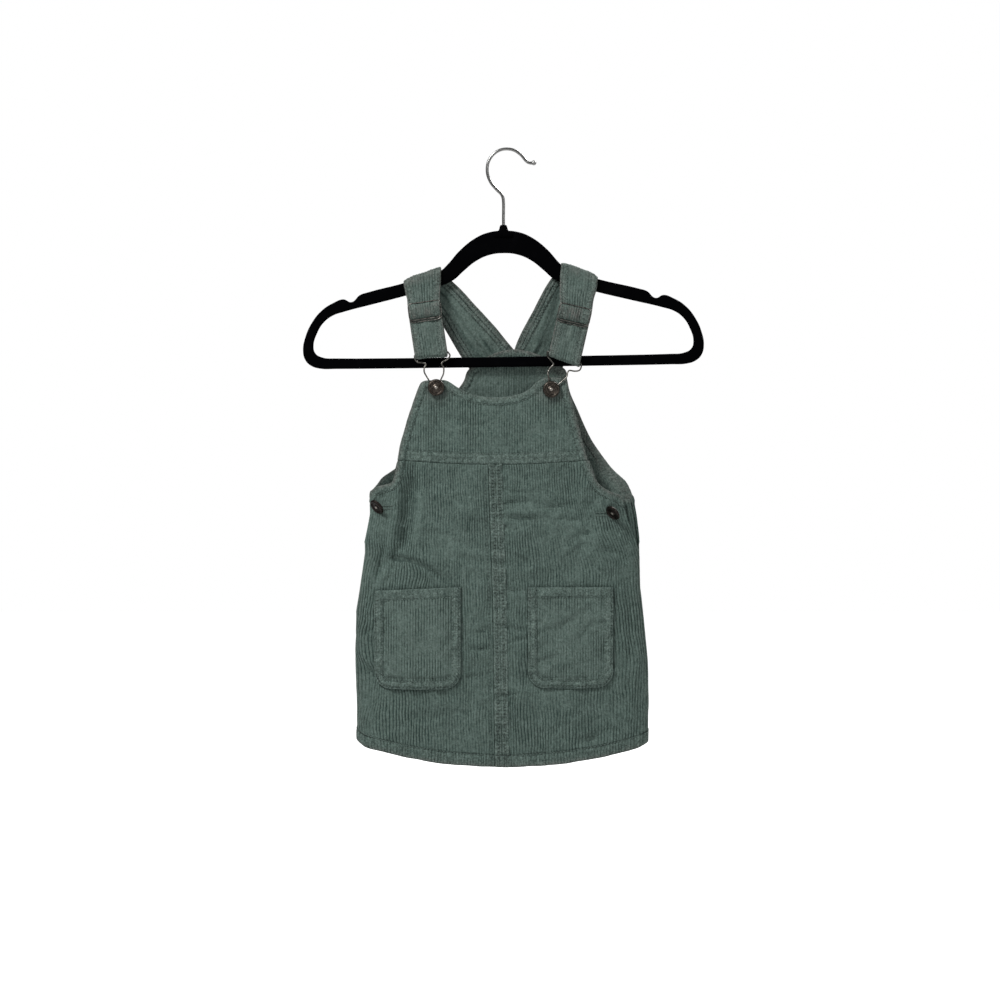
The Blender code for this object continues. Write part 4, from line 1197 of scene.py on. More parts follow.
def arc_turns(start, end):
    """Wales of a panel: their places, and the turn of each place for each height of Z_GRID.

    start and end give the turns between which the cloth lies at a height.  Near the
    start the wales keep their pitch, and towards the end they fan out with the flare.
    """
    found = []
    for z in Z_GRID:
        t = np.linspace(start(z), end(z), ARC_STEPS)
        found.append((t, length_along(bare_point(t, z))))
    least = found[int(np.argmin(np.abs(Z_GRID - PITCH_AT)))][1][-1]
    count = int(round(least / PITCH))
    u = wale_places(count)
    turns = []
    for t, run in found:
        at = u * least / count + (run[-1] - least) * (u / count) ** FAN
        turns.append(np.interp(at, run, t))
    return u, np.array(turns)


def at_heights(turn_table, heights):
    """Turns at each column's own heights, from the table over Z_GRID."""
    return np.stack([np.interp(heights[k], Z_GRID, turn_table[:, k])
                     for k in range(heights.shape[0])])


def column_ends(turn_table, edge, side):
    """Top and bottom of each column: the free edge or waist seam, and the hem."""
    columns = turn_table.shape[1]
    top = np.full(columns, -300.0)
    for _ in range(8):
        x = column_x(turn_table, top)
        top = np.minimum(np.interp(x, edge[:, 0], edge[:, 1]), seam_z(x) + TUCK)
    x = column_x(turn_table, np.full(columns, HEM_AT))
    return top, hem_z(x, side) + 0.35 * soft_noise(x, x * 0, 11.0, 1.0, SEEDS["hem"])


def column_x(turn_table, heights):
    """Where each column is across, at a height of its own."""
    turn = np.array([np.interp(z, Z_GRID, turn_table[:, k]) for k, z in enumerate(heights)])
    return bare_point(turn, heights)[:, 0]


def pocket_low(name, dx):
    size = POCKETS[name]
    straight = size["half"] - size["corner"]
    past = np.maximum(0.0, np.abs(dx) - straight)
    low = size["bottom"] + size["corner"] - np.sqrt(np.maximum(0.0, size["corner"] ** 2 - past ** 2))
    return low - 1.6 * (1 - (dx / size["half"]) ** 2)


def pocket_outline(name):
    """The pocket's sides and foot as X and Z, from its top left round to its top right."""
    size = POCKETS[name]
    half, straight = size["half"], size["half"] - size["corner"]
    turns = np.radians(np.arange(0, 91, 6))
    bend = straight + size["corner"] * np.sin(turns)
    xs = np.concatenate([-bend[::-1], np.linspace(-straight, straight, 24)[1:-1], bend])
    ends = [(side * half, size["top"] + side * size["slope"] * half) for side in (-1, 1)]
    foot = list(zip(xs, pocket_low(name, xs)))
    return np.array([ends[0]] + foot + [ends[1]]) + (size["x"], 0.0)


def under_pockets(x, z):
    """1 where a pocket lies on the panel and presses its pile flat."""
    pressed = np.zeros(np.shape(x))
    for name, size in POCKETS.items():
        dx = x - size["x"]
        top = size["top"] + size["slope"] * dx
        inside_x = np.clip((size["half"] - np.abs(dx)) / 1.5, 0, 1)
        low = pocket_low(name, np.clip(dx, -size["half"], size["half"]))
        inside_z = np.clip(np.minimum(top - z, z - low) / 1.5, 0, 1)
        pressed = np.maximum(pressed, inside_x * inside_z)
    return pressed


def skirt_panel(name, turn_table, u, edge, side, count_rows, replaces, band=None):
    """One skirt panel from its columns; band is the columns' place on the centre band."""
    top, low = column_ends(turn_table, edge, side)
    z = rows_between(top, low, count_rows, near_low=HEM_ROWS)
    strays = WANDERS if side == "front" else ()
    turns = wandered(at_heights(turn_table, z), z, band, SEEDS[name], strays)
    x = bare_point(turns, z)[..., 0]
    cloth = Cloth(x, z, SEEDS[name])
    free, free_s = nearest_on(edge, x, z)
    free = np.where((free < 40) & (z > seam_z(x) - 6.0) & (np.abs(x) < 70), FAR, free)
    above_hem = z - low[:, None]
    cloth.sewn(above_hem, x, HEM_W, HEM_RISE, (HEM_STITCH,), worn=0.7, rubbed=0.25, pull=0.8, holes=0.9)
    cloth.faint = -0.6 * step_up(above_hem, HEM_W - 1.0) * (above_hem > -0.5)
    cloth.sewn(free, free_s, EDGE_W, EDGE_RISE, (EDGE_STITCH,), worn=0.8, rubbed=0.4)
    if band is not None:
        sew_down_band(cloth, band)
    if side == "front":
        shape_front(cloth)
    cloth.drop += edge_round(free, 1.1) + edge_round(above_hem, 1.3)
    shape_seams(cloth, turns)
    flat = under_pockets(x, z) if side == "front" else 0.0
    return cloth_panel(name, cloth, in_columns(u, z), turns, flat=flat, inner_free=free, replaces=replaces)


def sew_down_band(cloth, band):
    """The felled band down the middle of the front; band is below 0 for the columns beside it."""
    on_band = np.broadcast_to((band >= 0)[:, None], cloth.z.shape)
    from_edge = np.where(on_band, np.minimum(band, BAND_W - band)[:, None], FAR)
    cloth.sewn(from_edge, cloth.z, BAND_W / 2, BAND_RISE * 1.15, (BAND_STITCH,), rubbed=1.0, pull=2.8,
               holes=1.0)
    cloth.furrow = np.where(on_band, 0.4 * cloth.furrow, cloth.furrow)
    cloth.at_least("row", 0.62 * groove(from_edge, 3.6, 1.6) * on_band)
    cloth.drop += np.where(on_band, edge_round(np.maximum(from_edge, 0), 0.8), 0.0)


def shape_front(cloth):
    """The front beside its centre band and its pockets, and the painted shade deep in its folds."""
    x, z = cloth.x, cloth.z
    beside = np.abs(x - centre_x(z)) - BAND_W / 2
    reach = falloff(np.maximum(beside, 0), 5.0) * (beside > 0)
    cloth.pucker += 0.4 * soft_noise(z, beside, 3.6, 8.0, cloth.seed + 70) * reach
    # The furrow at the band's edge dips the cloth and darkens it: painted shadow of the band's step.
    cloth.at_least("furrow", 0.8 * groove(beside, 0.2, 0.45))
    second_row = groove(beside, 3.4, 0.6) * (x < -4.0) * (z < -290.0)
    cloth.at_least("row", 0.7 * second_row)
    cloth.along = np.where(second_row > 0.1, z, cloth.along)
    # Along the pockets' edges the furrow darkens the panel: painted shadow of the pockets.
    cloth.at_least("furrow", 0.7 * beside_pockets(x, z))
    # Deep in the creases the crest is lowered toward the grooves' colour: painted shade.
    sunk = CREASE_DEPTH * fold_rise(FRONT_CREASES, x, z) + 0.5 * fold_rise(FRONT_FOLDS, x, z)
    cloth.deep = np.clip((-sunk - 0.7) / 4.0, 0, 1)


def shape_seams(cloth, turns):
    """The cloth dips into the waist seam, which draws it up, and into the side seams."""
    x, z = cloth.x, cloth.z
    below = np.where(np.abs(x - WAIST_MIDDLE) < 90.0, seam_z(x) - z, FAR)
    from_side = np.minimum(np.abs(turns - SIDE_TURN), np.abs(turns + SIDE_TURN))
    from_side = np.minimum(from_side, np.abs(turns - 3 * SIDE_TURN)) * 17.0
    from_side = np.where(z < SIDE_SEWN, from_side, FAR)
    cloth.drop += np.where(below < 6.0, 1.1 * falloff(np.maximum(below, 0), 0.6), 0.0)
    cloth.drop += np.where(below < 0.0, 0.9, 0.0)
    cloth.drop += 0.6 * falloff(from_side, 1.3)
    drawn = falloff(np.maximum(below, 0), 6.0)
    cloth.pucker += 0.22 * soft_noise(x, below, 4.2, 9.0, cloth.seed + 71) * drawn
    cloth.at_least("wear", 0.4 * falloff(from_side, 4.0))


def beside_pockets(x, z):
    """1 along the foot of each pocket's edge, where the pile dips under it and is darkened as painted
    shadow.
    """
    dip = np.zeros(np.shape(x))
    for name in POCKETS:
        outline = pocket_outline(name)
        away = nearest_on(np.vstack([outline, outline[:1]]), x, z)[0]
        dip = np.maximum(dip, falloff(away, 1.1))
    return dip


def wandered(turns, z, band, seed, strays):
    """The wales' turns, led astray here and there; the panel's sides and the band stay in place."""
    step = 0.01
    place = bare_point(turns, z)
    per_turn = np.linalg.norm(bare_point(turns + step, z) - place, axis=-1) / step
    x = place[..., 0]
    stray = 1.1 * soft_noise(x, z, 15.0, 19.0, seed + 80) + 0.5 * soft_noise(x, z, 7.0, 9.0, seed + 81)
    for at_x, at_z, across, along, shift in strays:
        stray = stray + shift * spot(x, z, (at_x, at_z), across, along)
    run = np.cumsum(np.linalg.norm(np.diff(place, axis=0, prepend=place[:1]), axis=-1), axis=0)
    end = run[-1:] if band is None else run[np.argmax(band >= 0)][None, :]
    pinned = np.clip(np.minimum(run, end - run) / 9.0, 0, 1)
    return turns + stray * pinned / np.maximum(per_turn, 10.0)


def band_turn(z, offset):
    return turn_at(centre_x(z) + offset, z)


def front_right_turn(z):
    inset = np.interp(z, OPENING_T[:, 0], OPENING_T[:, 1])
    right = np.interp(z, FORM_T[:, 0], FORM_T[:, 2])
    return np.where(inset <= 0.05, SIDE_TURN, turn_at(right - inset, z))


def make_front_skirt_left():
    u, turns = arc_turns(lambda z: float(band_turn(z, -BAND_W / 2)), lambda z: -SIDE_TURN - SIDE_LAP / 2)
    # Columns run from the side to the centre, then over the band, whose own wales come closer.
    places = wale_places(BAND_WALES)[1:]
    offsets = places / BAND_WALES * BAND_W
    over_band = np.stack([band_turn(Z_GRID, o - BAND_W / 2) for o in offsets], axis=1)
    turns = np.concatenate([turns[:, ::-1], over_band], axis=1)
    band = np.concatenate([np.full(len(u) - 1, -1.0), [0.0], offsets])
    u = np.concatenate([u[::-1], places + 200.0])
    obj = skirt_panel("skirt_front_left", turns, u, FRONT_LINE, "front", FRONT_ROWS, ("front_skirt_left",),
                      band)


def make_front_skirt_right():
    u, turns = arc_turns(
        lambda z: float(band_turn(z, BAND_W / 2 - UNDER_BAND)),
        lambda z: float(front_right_turn(z)) + (SIDE_LAP / 2 if z < SIDE_JOINED else 0.0))
    obj = skirt_panel("skirt_front_right", turns, u, FRONT_LINE, "front", FRONT_ROWS,
                      ("front_skirt_right",))


def make_back_skirt():
    """The back is one piece, whose wales fan out to both sides from its middle."""
    u_left, left = arc_turns(lambda z: math.pi, lambda z: 3 * SIDE_TURN)
    u_right, right = arc_turns(lambda z: math.pi, lambda z: SIDE_TURN)
    turns = np.concatenate([right[:, ::-1], left[:, 1:]], axis=1)
    u = np.concatenate([-u_right[::-1], u_left[1:]]) + 300.0
    obj = skirt_panel("skirt_back", turns, u, BACK_LINE, "back", BACK_ROWS, ("back_skirt",))


def bib_cloth(name, edge, x_from, x_to, count_rows):
    """Columns of a bib from its free edge down to the waist seam, and what sewing does to it."""
    count = int(round((x_to - x_from) / PITCH))
    u = wale_places(count)
    x0 = x_from + (x_to - x_from) * u / count
    top = np.interp(x0, edge[:, 0], edge[:, 1])
    low = np.minimum(seam_z(x0) - 0.1, top - 0.6)
    z = rows_between(top, low, count_rows, near_low=BIB_LOW_ROWS)
    x = in_columns(x0, z)
    cloth = Cloth(x, z, SEEDS[name])
    free, free_s = nearest_on(edge, x, z)
    above_seam = z - low[:, None]
    cloth.sewn(above_seam, x, WAIST_W, WAIST_RISE, WAIST_ROWS, rubbed=0.6, pull=0.9, holes=0.3)
    cloth.furrow *= 0.5
    cloth.sewn(free, free_s, EDGE_W, EDGE_RISE, (EDGE_STITCH,), worn=0.8, rubbed=0.3, pull=1.3, holes=0.4)
    cloth.drop += edge_round(free, 1.1) + 0.8 * falloff(np.maximum(above_seam, 0), 0.5)
    return cloth, in_columns(u, z), free, free_s


def wear_front_bib(cloth):
    """The neckline is hardly worn, and the corners with the buttons most of all."""
    neckline = np.abs(cloth.x + 11.0) < 46.0
    cloth.wear = np.where(neckline, 0.35 * cloth.wear, cloth.wear)
    corners = sum(spot(cloth.x, cloth.z + 2.0, button, 13.0, 10.0) for button in BIB_BUTTONS.values())
    cloth.at_least("wear", 0.65 * np.clip(corners, 0, 1))


def make_front_bib():
    cloth, u, free, _ = bib_cloth("bib_front", FRONT_LINE, -94.4, 75.3, BIB_FRONT_ROWS)
    wear_front_bib(cloth)
    obj = cloth_panel("bib_front", cloth, u, turn_at(cloth.x, cloth.z), inner_rows=20, inner_free=free,
                      replaces=("front_bib",))


LINING_SEEN_FROM = 30.0      # the photo shows the upper back's inside from here to the right


def back_lining(cloth, free, free_s):
    """The upper back's inside, worn on the right, where it is seen; its rub lightens it all over and most
    on the right: painted light where the front shades it.
    """
    lining = Cloth(cloth.x, cloth.z, SEEDS["back_lining"])
    on_right = cloth.x > LINING_SEEN_FROM
    lining.sewn(free, free_s, EDGE_W, 0.15, (EDGE_STITCH,), worn=0.9, rubbed=0.3, pull=0.6)
    lining.drop += edge_round(free, 0.8)
    lining.faint = lining.faint - 0.35
    # Painted light: this rub lightens the inside, most of all on the right.
    lining.at_least("rub", 0.42 + 0.58 * on_right)
    lining.at_least("wear", 0.62 * np.exp(-(free / 9.0) ** 4) * on_right)
    lining.at_least("band", 0.8 * step_up(free, 16.0, 3.0) * on_right)
    return lining


def make_back_bib():
    """The upper back, whose inside is faced with the same cloth, wales and all."""
    cloth, u, free, free_s = bib_cloth("bib_back", BACK_LINE, -91.2, 91.4, BIB_BACK_ROWS)
    relief, face = cloth.relief(u)
    inner_relief, inner_face = back_lining(cloth, free, free_s).relief(u + 0.37)
    # Painted light: on the right the inside's crest is held at 1, clear of the grooves' painted shade,
    # where the front shades it.
    inner_face["crest"] = np.maximum(inner_face["crest"], 1.0 * (cloth.x > LINING_SEEN_FROM))
    base, out = dress_point(math.pi - turn_at(cloth.x, cloth.z), cloth.z)
    obj = two_faced("bib_back", base + out * relief[..., None],
                    base - out * (WALL - 0.3 + inner_relief)[..., None], face, inner_face, flip=True,
                    replaces=("back_bib",))


def pocket_cloth(name, x, z, below_top):
    """The pocket with its sewn edges, and how far it is drawn in just inside them."""
    size = POCKETS[name]
    sides, sides_s = nearest_on(pocket_outline(name), x, z)
    cloth = Cloth(x, z, SEEDS[name])
    # Towards the foot its furrows and needle holes are darker: painted shade.
    foot = np.clip((size["bottom"] + 14.0 - z) / 6.0, 0, 1)
    cloth.sewn(sides, sides_s, POCKET_EDGE_W, POCKET_EDGE_RISE, POCKET_STITCHES, rubbed=0.75, pull=2.3,
               holes=0.40 + 0.60 * foot)
    uneven = 0.5 * soft_noise(sides_s, sides, 9.0, 9.0, SEEDS["pocket_furrow"])
    cloth.furrow *= np.clip(0.5 + 0.5 * foot + uneven, 0, 1)
    edging = cloth.furrow.copy()
    cloth.sewn(below_top, x, POCKET_HEM_W, POCKET_HEM_RISE, (POCKET_TOP_STITCH,), rubbed=0.5, pull=1.0,
               holes=0.4)
    cloth.furrow = np.where(cloth.furrow > edging, 0.55 * cloth.furrow, cloth.furrow)
    cloth.at_least("rub", size["rub"])
    cloth.drop += edge_round(np.minimum(sides, below_top), 1.3)
    sunk = (0.8 + 0.5 * foot) * falloff(sides - 9.2, 1.8)
    return cloth, sunk


def make_pocket(name):
    size = POCKETS[name]
    half = size["half"]
    count = int(round(2 * half / PITCH))
    u = wale_places(count)
    share = 2 * u / count - 1
    # Columns close in on the sides, where the outline turns steeply.
    dx = half * (0.12 * np.sin(share * math.pi / 2) + 0.88 * share)
    top = size["top"] + size["slope"] * dx
    z = rows_between(top, pocket_low(name, dx), POCKET_ROWS, POCKET_TOP_ROWS, POCKET_LOW_ROWS)
    x = in_columns(size["x"] + dx, z)
    below_top = top[:, None] - z
    cloth, sunk = pocket_cloth(name, x, z, below_top)
    middle = np.cos(share * math.pi / 2)[:, None]
    gape = 1.0 * middle * falloff(below_top, 9.0)
    belly = 0.7 * middle * np.sin(np.clip(below_top / 88.0, 0, 1) * math.pi)
    cloth.rise = cloth.rise + gape + belly - sunk
    obj = cloth_panel(name.replace("pocket", "patch_pocket"), cloth, in_columns(u, z), turn_at(x, z),
                      lift=POCKET_LIFT, inner_rows=14, replaces=(name,))
    sew_pocket(name)


def sew_pocket(name):
    size = POCKETS[name]
    half = size["half"]
    for by in POCKET_STITCHES:
        stitch_on_front(*inset_line(run_of(pocket_outline(name), 1.0), by).T, POCKET_LIFT + 0.2)
    ends = [(size["x"] + end * (half - 3), size["top"] - POCKET_TOP_STITCH + end * size["slope"] * half)
            for end in (-1, 1)]
    x, z = run_of(ends, 1.0).T
    gape = 0.6 * np.cos((x - size["x"]) / half * math.pi / 2)
    stitch_on_front(x, z, POCKET_LIFT + 0.2 + gape)


UNDERLAPS = {
    # sign of x, top, bottom
    "left": (-1, -309.0, -352.0),
    "right": (1, -312.0, -356.0),
}
UNDERLAP_WALES = 9


def make_underlap(side):
    sign, top, low = UNDERLAPS[side]
    u = wale_places(UNDERLAP_WALES)
    z = np.linspace(top, low, 26)[None, :] * np.ones((len(u), 1))
    turns = in_columns(sign * (SIDE_TURN + 0.42 - 1.02 * u / UNDERLAP_WALES), z)
    ends = np.minimum(top - z, z - low)
    across = in_columns(np.minimum(u, UNDERLAP_WALES - u), z) * PITCH
    cloth = Cloth(across, z, SEEDS["button_stand"])
    edge = np.minimum(ends, across)
    cloth.sewn(edge, across + z, 5.0, 0.1, (4.5,), worn=0.5, rubbed=0.3, pull=0.4)
    cloth.drop += edge_round(edge, 0.9)
    relief, face = cloth.relief(in_columns(u, z))
    base, out = dress_point(turns, z, -(WALL + GAP + SLACK * 2), fine=False)
    obj = two_faced("button_stand_" + side, base + out * (relief - 0.3)[..., None], base - out * WALL,
                    face, plain_face(z.shape), flip=side == "right", replaces=("underlap_" + side,))


# ======== straps
def ruling(mid, lean, half):
    """The two ends of a straight line across, from its middle, its lean and half its length."""
    cos, sin = cos_sin(lean)
    return (mid[0] + half * cos, mid[1] + half * sin), (mid[0] - half * cos, mid[1] - half * sin)


def between(first, last, share):
    return tuple(a + (b - a) * share for a, b in zip(first, last))


def strap_stations(side):
    """Lines across the strap along its way: inner x and z, outer x and z, and y."""
    slider, loop, fold = SLIDER[side], LOOP[side], STRAP_FOLD[side]
    shift, turned_lean = STRAP_SHIFT[side], loop["lean"] + STRAP_TURN[side]
    front_y, back_y = LOOP_Y - LOOP_RADIUS, LOOP_Y + LOOP_RADIUS
    reach = WIRE_D / 2 + GAP + STRAP_T / 2 + SLACK
    half_turn = [math.pi * k / 6 for k in range(7)]

    def across(mid, lean, y):
        inner, outer = ruling(mid, lean, INWARDS[side] * STRAP_HALF)
        return (*inner, *outer, y)

    def at_slider(share, y):
        return across(between(slider["top"], slider["bottom"], share), slider["lean"], y)

    def on_run(share, y):
        mid = between(slider["bottom"], loop["mid"], share)
        lean = slider["lean"] + (turned_lean - slider["lean"]) * share
        return across((mid[0] + shift * share, mid[1]), lean, y)

    stations = list(STRAP_BACK[side])
    for angle in half_turn:
        drop = FOLD_RADIUS * (math.sin(angle) - 1)
        ends = [(x, z + drop) for x, z in (fold["inner"], fold["outer"])]
        stations.append((*ends[0], *ends[1], FOLD_RADIUS * math.cos(angle)))
    stations += STRAP_FRONT[side]
    stations += [at_slider(share, SLIDER_Y + depth * reach) for share, depth in SLIDER_WEAVE]
    stations += [on_run(0.3, front_y + 0.5), on_run(0.65, front_y)]
    for angle in half_turn:
        mid = (loop["mid"][0] + shift, loop["mid"][1] - LOOP_RADIUS * math.sin(angle))
        stations.append(across(mid, turned_lean, LOOP_Y - LOOP_RADIUS * math.cos(angle)))
    stations += [on_run(0.65, back_y), on_run(0.3, back_y), on_run(0.06, back_y - 0.05)]
    return stations + [at_slider(0.72, SLIDER_Y + reach + 1.4), at_slider(0.56, SLIDER_Y + reach)]


STRAP_HEM = 9.4          # the turned edges on the straps' inner face
STRAP_WALES = 13
STRAP_WIDE = 29.0
STRAP_SEWN_BELOW = -174.0    # the straps lie on the back below this


def strap_middle(side, share):
    """The middle of a strap's cloth, as places along and across it, clear of the back it is sewn on."""
    line = smooth_line(strap_stations(side), 7)
    x = line[:, 0:1] + (line[:, 2:3] - line[:, 0:1]) * share
    z = line[:, 1:2] + (line[:, 3:4] - line[:, 1:2]) * share
    y = line[:, 4:5] * np.ones(x.shape)
    face = dress_point(math.pi - turn_at(x, z), z)[0][..., 1]
    lying = (y > FOLD_RADIUS) & (z < STRAP_SEWN_BELOW)
    on_back = (line[:, 4] > FOLD_RADIUS)[:, None] & (y > 0)
    y = np.where(lying, np.maximum(y, face + EDGE_RISE + GAP + STRAP_T / 2 + SLACK), y)
    # Where it first meets the back the step in depth is eased along the strap.
    for _ in range(14):
        soft = y.copy()
        soft[1:-1] = (y[:-2] + 2 * y[1:-1] + y[2:]) / 4
        y = np.where(on_back, np.maximum(soft, np.where(lying, y, -FAR)), y)
    return np.stack([x, y, z], axis=-1)


def from_wire(place, mid, lean):
    """How far places lie from a slider's wire, seen from the front."""
    cos, sin = cos_sin(lean)
    return np.abs((place[..., 2] - mid[1]) * cos - (place[..., 0] - mid[0]) * sin)


class Strap:
    """The middle of a strap's cloth, and how far each of its points is from edges and ends."""

    def __init__(self, side):
        self.side, self.slider, self.seed = side, SLIDER[side], SEEDS["strap_" + side]
        self.wales = wale_places(STRAP_WALES)
        self.share = self.wales / STRAP_WALES
        mid = strap_middle(side, self.share)
        centre = mid[:, len(self.wales) // 2]
        bar = [(a + b) / 2 for a, b in zip(self.slider["top"], self.slider["bottom"])]
        over_bar = np.exp(-(from_wire(centre, bar, self.slider["lean"]) / 6.0) ** 6)
        self.swell = over_bar * (centre[:, 1] < SLIDER_Y)
        mid = centre[:, None] + (mid - centre[:, None]) * (1.04 - 0.05 * self.swell)[:, None, None]
        self.run = length_along(centre)[:, None]
        self.width = np.linalg.norm(mid[:, -1] - mid[:, 0], axis=1)[:, None]
        self.from_edge = np.minimum(self.share, 1 - self.share)[None, :] * self.width
        whole = np.ones(self.from_edge.shape)
        from_end = np.minimum(self.run, self.run[-1] - self.run) * whole
        self.ends = edge_round(np.minimum(self.from_edge, from_end), 1.1)
        self.across, self.along = self.share * STRAP_WIDE * whole, self.run * whole
        self.u = self.wales[None, :] * whole
        top = int(np.argmax(centre[:, 2]))
        self.from_top = self.run - self.run[top]
        self.mid = self.hung_over(mid)
        out = np.cross(np.gradient(self.mid, axis=0), np.gradient(self.mid, axis=1))
        out /= np.linalg.norm(out, axis=-1, keepdims=True) + 1e-9
        self.out = -out if out[top, len(self.wales) // 2, 2] < 0 else out
        self.on_front = (self.mid[..., 1] < 0) * 1.0

    def hung_over(self, mid):
        """Over the hanger the middle stands up a little and the edges hang."""
        share = self.share
        inner_drop, outer_drop = STRAP_TOP_DROP[self.side]
        corner = inner_drop * np.maximum(0.0, 1 - 1.6 * share) ** 2
        corner = corner + outer_drop * np.maximum(0.0, 1 - 4.0 * (1 - share)) ** 2
        mid[..., 2] += falloff(self.from_top, 7.0) * (0.5 * (1 - (2 * share - 1) ** 2) - corner)
        return mid

    def noise(self, size_across, size_along, extra):
        return soft_noise(self.across, self.along, size_across, size_along, self.seed + extra)

    def gathers(self):
        """Folds along the strap, deepest under the slider but not where its wires press."""
        lean = self.slider["lean"]
        room = 1.0
        for wire in ("top", "bottom"):
            room = room * (1 - falloff(from_wire(self.mid, self.slider[wire], lean), 2.4))
        at_slider = falloff(from_wire(self.mid, self.slider["bottom"], lean), 17.0)
        folds = self.noise(4.0, 16.0, 1) + 0.5 * self.noise(8.0, 9.0, 2)
        deep = 0.28 + 0.85 * at_slider * self.on_front * room
        return folds * deep * np.clip(self.from_edge / 3.0, 0.2, 1)

    def outside(self):
        """The right side: how far out it lies, and its attributes."""
        cloth = Cloth(self.across, self.along, self.seed)
        cloth.sewn(self.from_edge, self.along, 7.4, 0.25, STRAP_STITCHES, worn=0.9, rubbed=0.4, pull=1.2,
                   holes=0.2)
        cloth.furrow *= 0.35
        cloth.faint = np.clip(0.12 + 0.45 * self.noise(5.0, 24.0, 3), -0.2, 0.7)
        cloth.pucker = cloth.pucker + self.gathers()
        cloth.drop = cloth.drop + self.ends
        rubs = 0.75 + 0.5 * self.noise(6.0, 9.0, 4)
        cloth.at_least("wear", 0.80 * rubs * falloff(self.from_top, 11.0))
        cloth.at_least("wear", 0.85 * rubs * self.swell[:, None])
        cloth.at_least("wear", 0.6 * rubs * falloff(self.from_edge, 6.0) * self.on_front)
        cloth.at_least("wear", 0.18 * rubs * self.on_front)
        relief, face = cloth.relief(self.u)
        return STRAP_T / 2 - 0.2 + relief, face

    def inside(self):
        """The wrong side between the turned hems: how far in it lies, and its attributes."""
        cloth = Cloth(self.across, self.along, self.seed + 5)
        cloth.sewn(self.from_edge, self.along, STRAP_HEM, 0.0, (1.8, 5.6, STRAP_HEM), worn=0.9, rubbed=0.5,
                   pull=1.8, holes=0.9)
        cloth.at_least("wear", 0.5 * falloff(self.from_edge, 5.0))
        relief, face = cloth.relief(self.u)
        hem = step_up(self.from_edge, STRAP_HEM, 0.6)
        slanting = self.along + 2.5 * self.across
        plain = 1.1 * soft_noise(self.across, slanting, 2.2, 40.0, self.seed + 7) - 0.7
        streaks = soft_noise(self.across, slanting, 1.9, 46.0, self.seed + 8)
        streaks = streaks + 0.6 * self.noise(1.1, 14.0, 9)
        face["inside"] = np.clip(0.7 + 0.7 * streaks, 0.1, 1.0) * (1 - hem)
        face["crest"] = face["crest"] * hem + (1 - hem) * (0.55 + 0.35 * streaks)
        face["wear"] = np.clip(face["wear"] + 0.2 * hem, 0, 1)
        return STRAP_T / 2 - 0.25 + hem * 0.8 * relief + (1 - hem) * plain - self.ends, face


def across_first(grid):
    """Straps are worked out along first; the shells take their columns first."""
    return np.swapaxes(grid, 0, 1)


def make_strap(side):
    """A strap with its wales along it; inside, its turned hems lie on the cloth's wrong side."""
    strap = Strap(side)
    upper, face = strap.outside()
    lower, inner_face = strap.inside()
    face, inner_face = ({key: across_first(f[key]) for key in f} for f in (face, inner_face))
    obj = two_faced("strap_cloth_" + side, across_first(strap.mid + strap.out * upper[..., None]),
                    across_first(strap.mid - strap.out * lower[..., None]), face, inner_face,
                    flip=side == "right", replaces=("strap_" + side,))
    sew_strap(strap.mid, strap.out, strap.share, strap.width)


def sew_strap(mid, out, share, width):
    """Topstitching in two rows along both edges of a strap, outside and inside."""
    steps = np.arange(4, len(mid) - 4)
    for inset in STRAP_STITCHES:
        for flip in (False, True):
            at = inset / width[steps, 0]
            column = np.interp(1 - at if flip else at, share, np.arange(len(share)))
            low = column.astype(int)
            part = (column - low)[:, None]
            places = mid[steps, low] * (1 - part) + mid[steps, low + 1] * part
            ways = out[steps, low]
            stitch_line(places + ways * (STRAP_T / 2), ways, 0.1)
            stitch_line(places - ways * (STRAP_T / 2 - 0.2), -ways, 0.1)


# ======== hard trim
def new_curve(name, dimensions, bevel, sides):
    curve = bpy.data.curves.new(name, "CURVE")
    curve.dimensions = dimensions
    curve.bevel_depth = bevel * MM
    curve.bevel_resolution = sides
    return curve


def wire_piece(name, runs, diameter, mat, replaces, sides=5):
    """Round wires in one curve; each run is its points and whether it closes."""
    curve = new_curve(name, "3D", diameter / 2, sides)
    curve.use_fill_caps = True
    for points, closed in runs:
        spline = curve.splines.new("POLY")
        spline.points.add(len(points) - 1)
        for knot, place in zip(spline.points, points):
            knot.co = (place[0] * MM, place[1] * MM, place[2] * MM, 1.0)
        spline.use_cyclic_u = closed
        spline.use_smooth = True
    curve.materials.append(mat)
    return declared(placed(name, curve), replaces)


def round_corner(corner, before, after, radius, steps=7):
    corner = np.array(corner)
    start, end = (corner + (np.array(p) - corner) / np.linalg.norm(np.array(p) - corner) * radius
                  for p in (before, after))
    t = np.linspace(0, 1, steps)[:, None]
    return ((1 - t) ** 2 * start + 2 * t * (1 - t) * corner + t * t * end).tolist()


# The drawn wires are finer than the solid ones, and the sliders sit closer round the cloth.
WIRE_DRAWN = 0.80
SLIDER_WIRE_DRAWN = 0.58
SLIDER_HALF_DRAWN = 14.5
SLIDER_EXTRA_DRAWN = 1.9
SLIDER_BEND = 3.6            # how far before its corners a slider's wire begins to bend
SLIDER_EXTRA_BEND = 1.2
SLIDER_EXTRA_SHORTER = 3.0


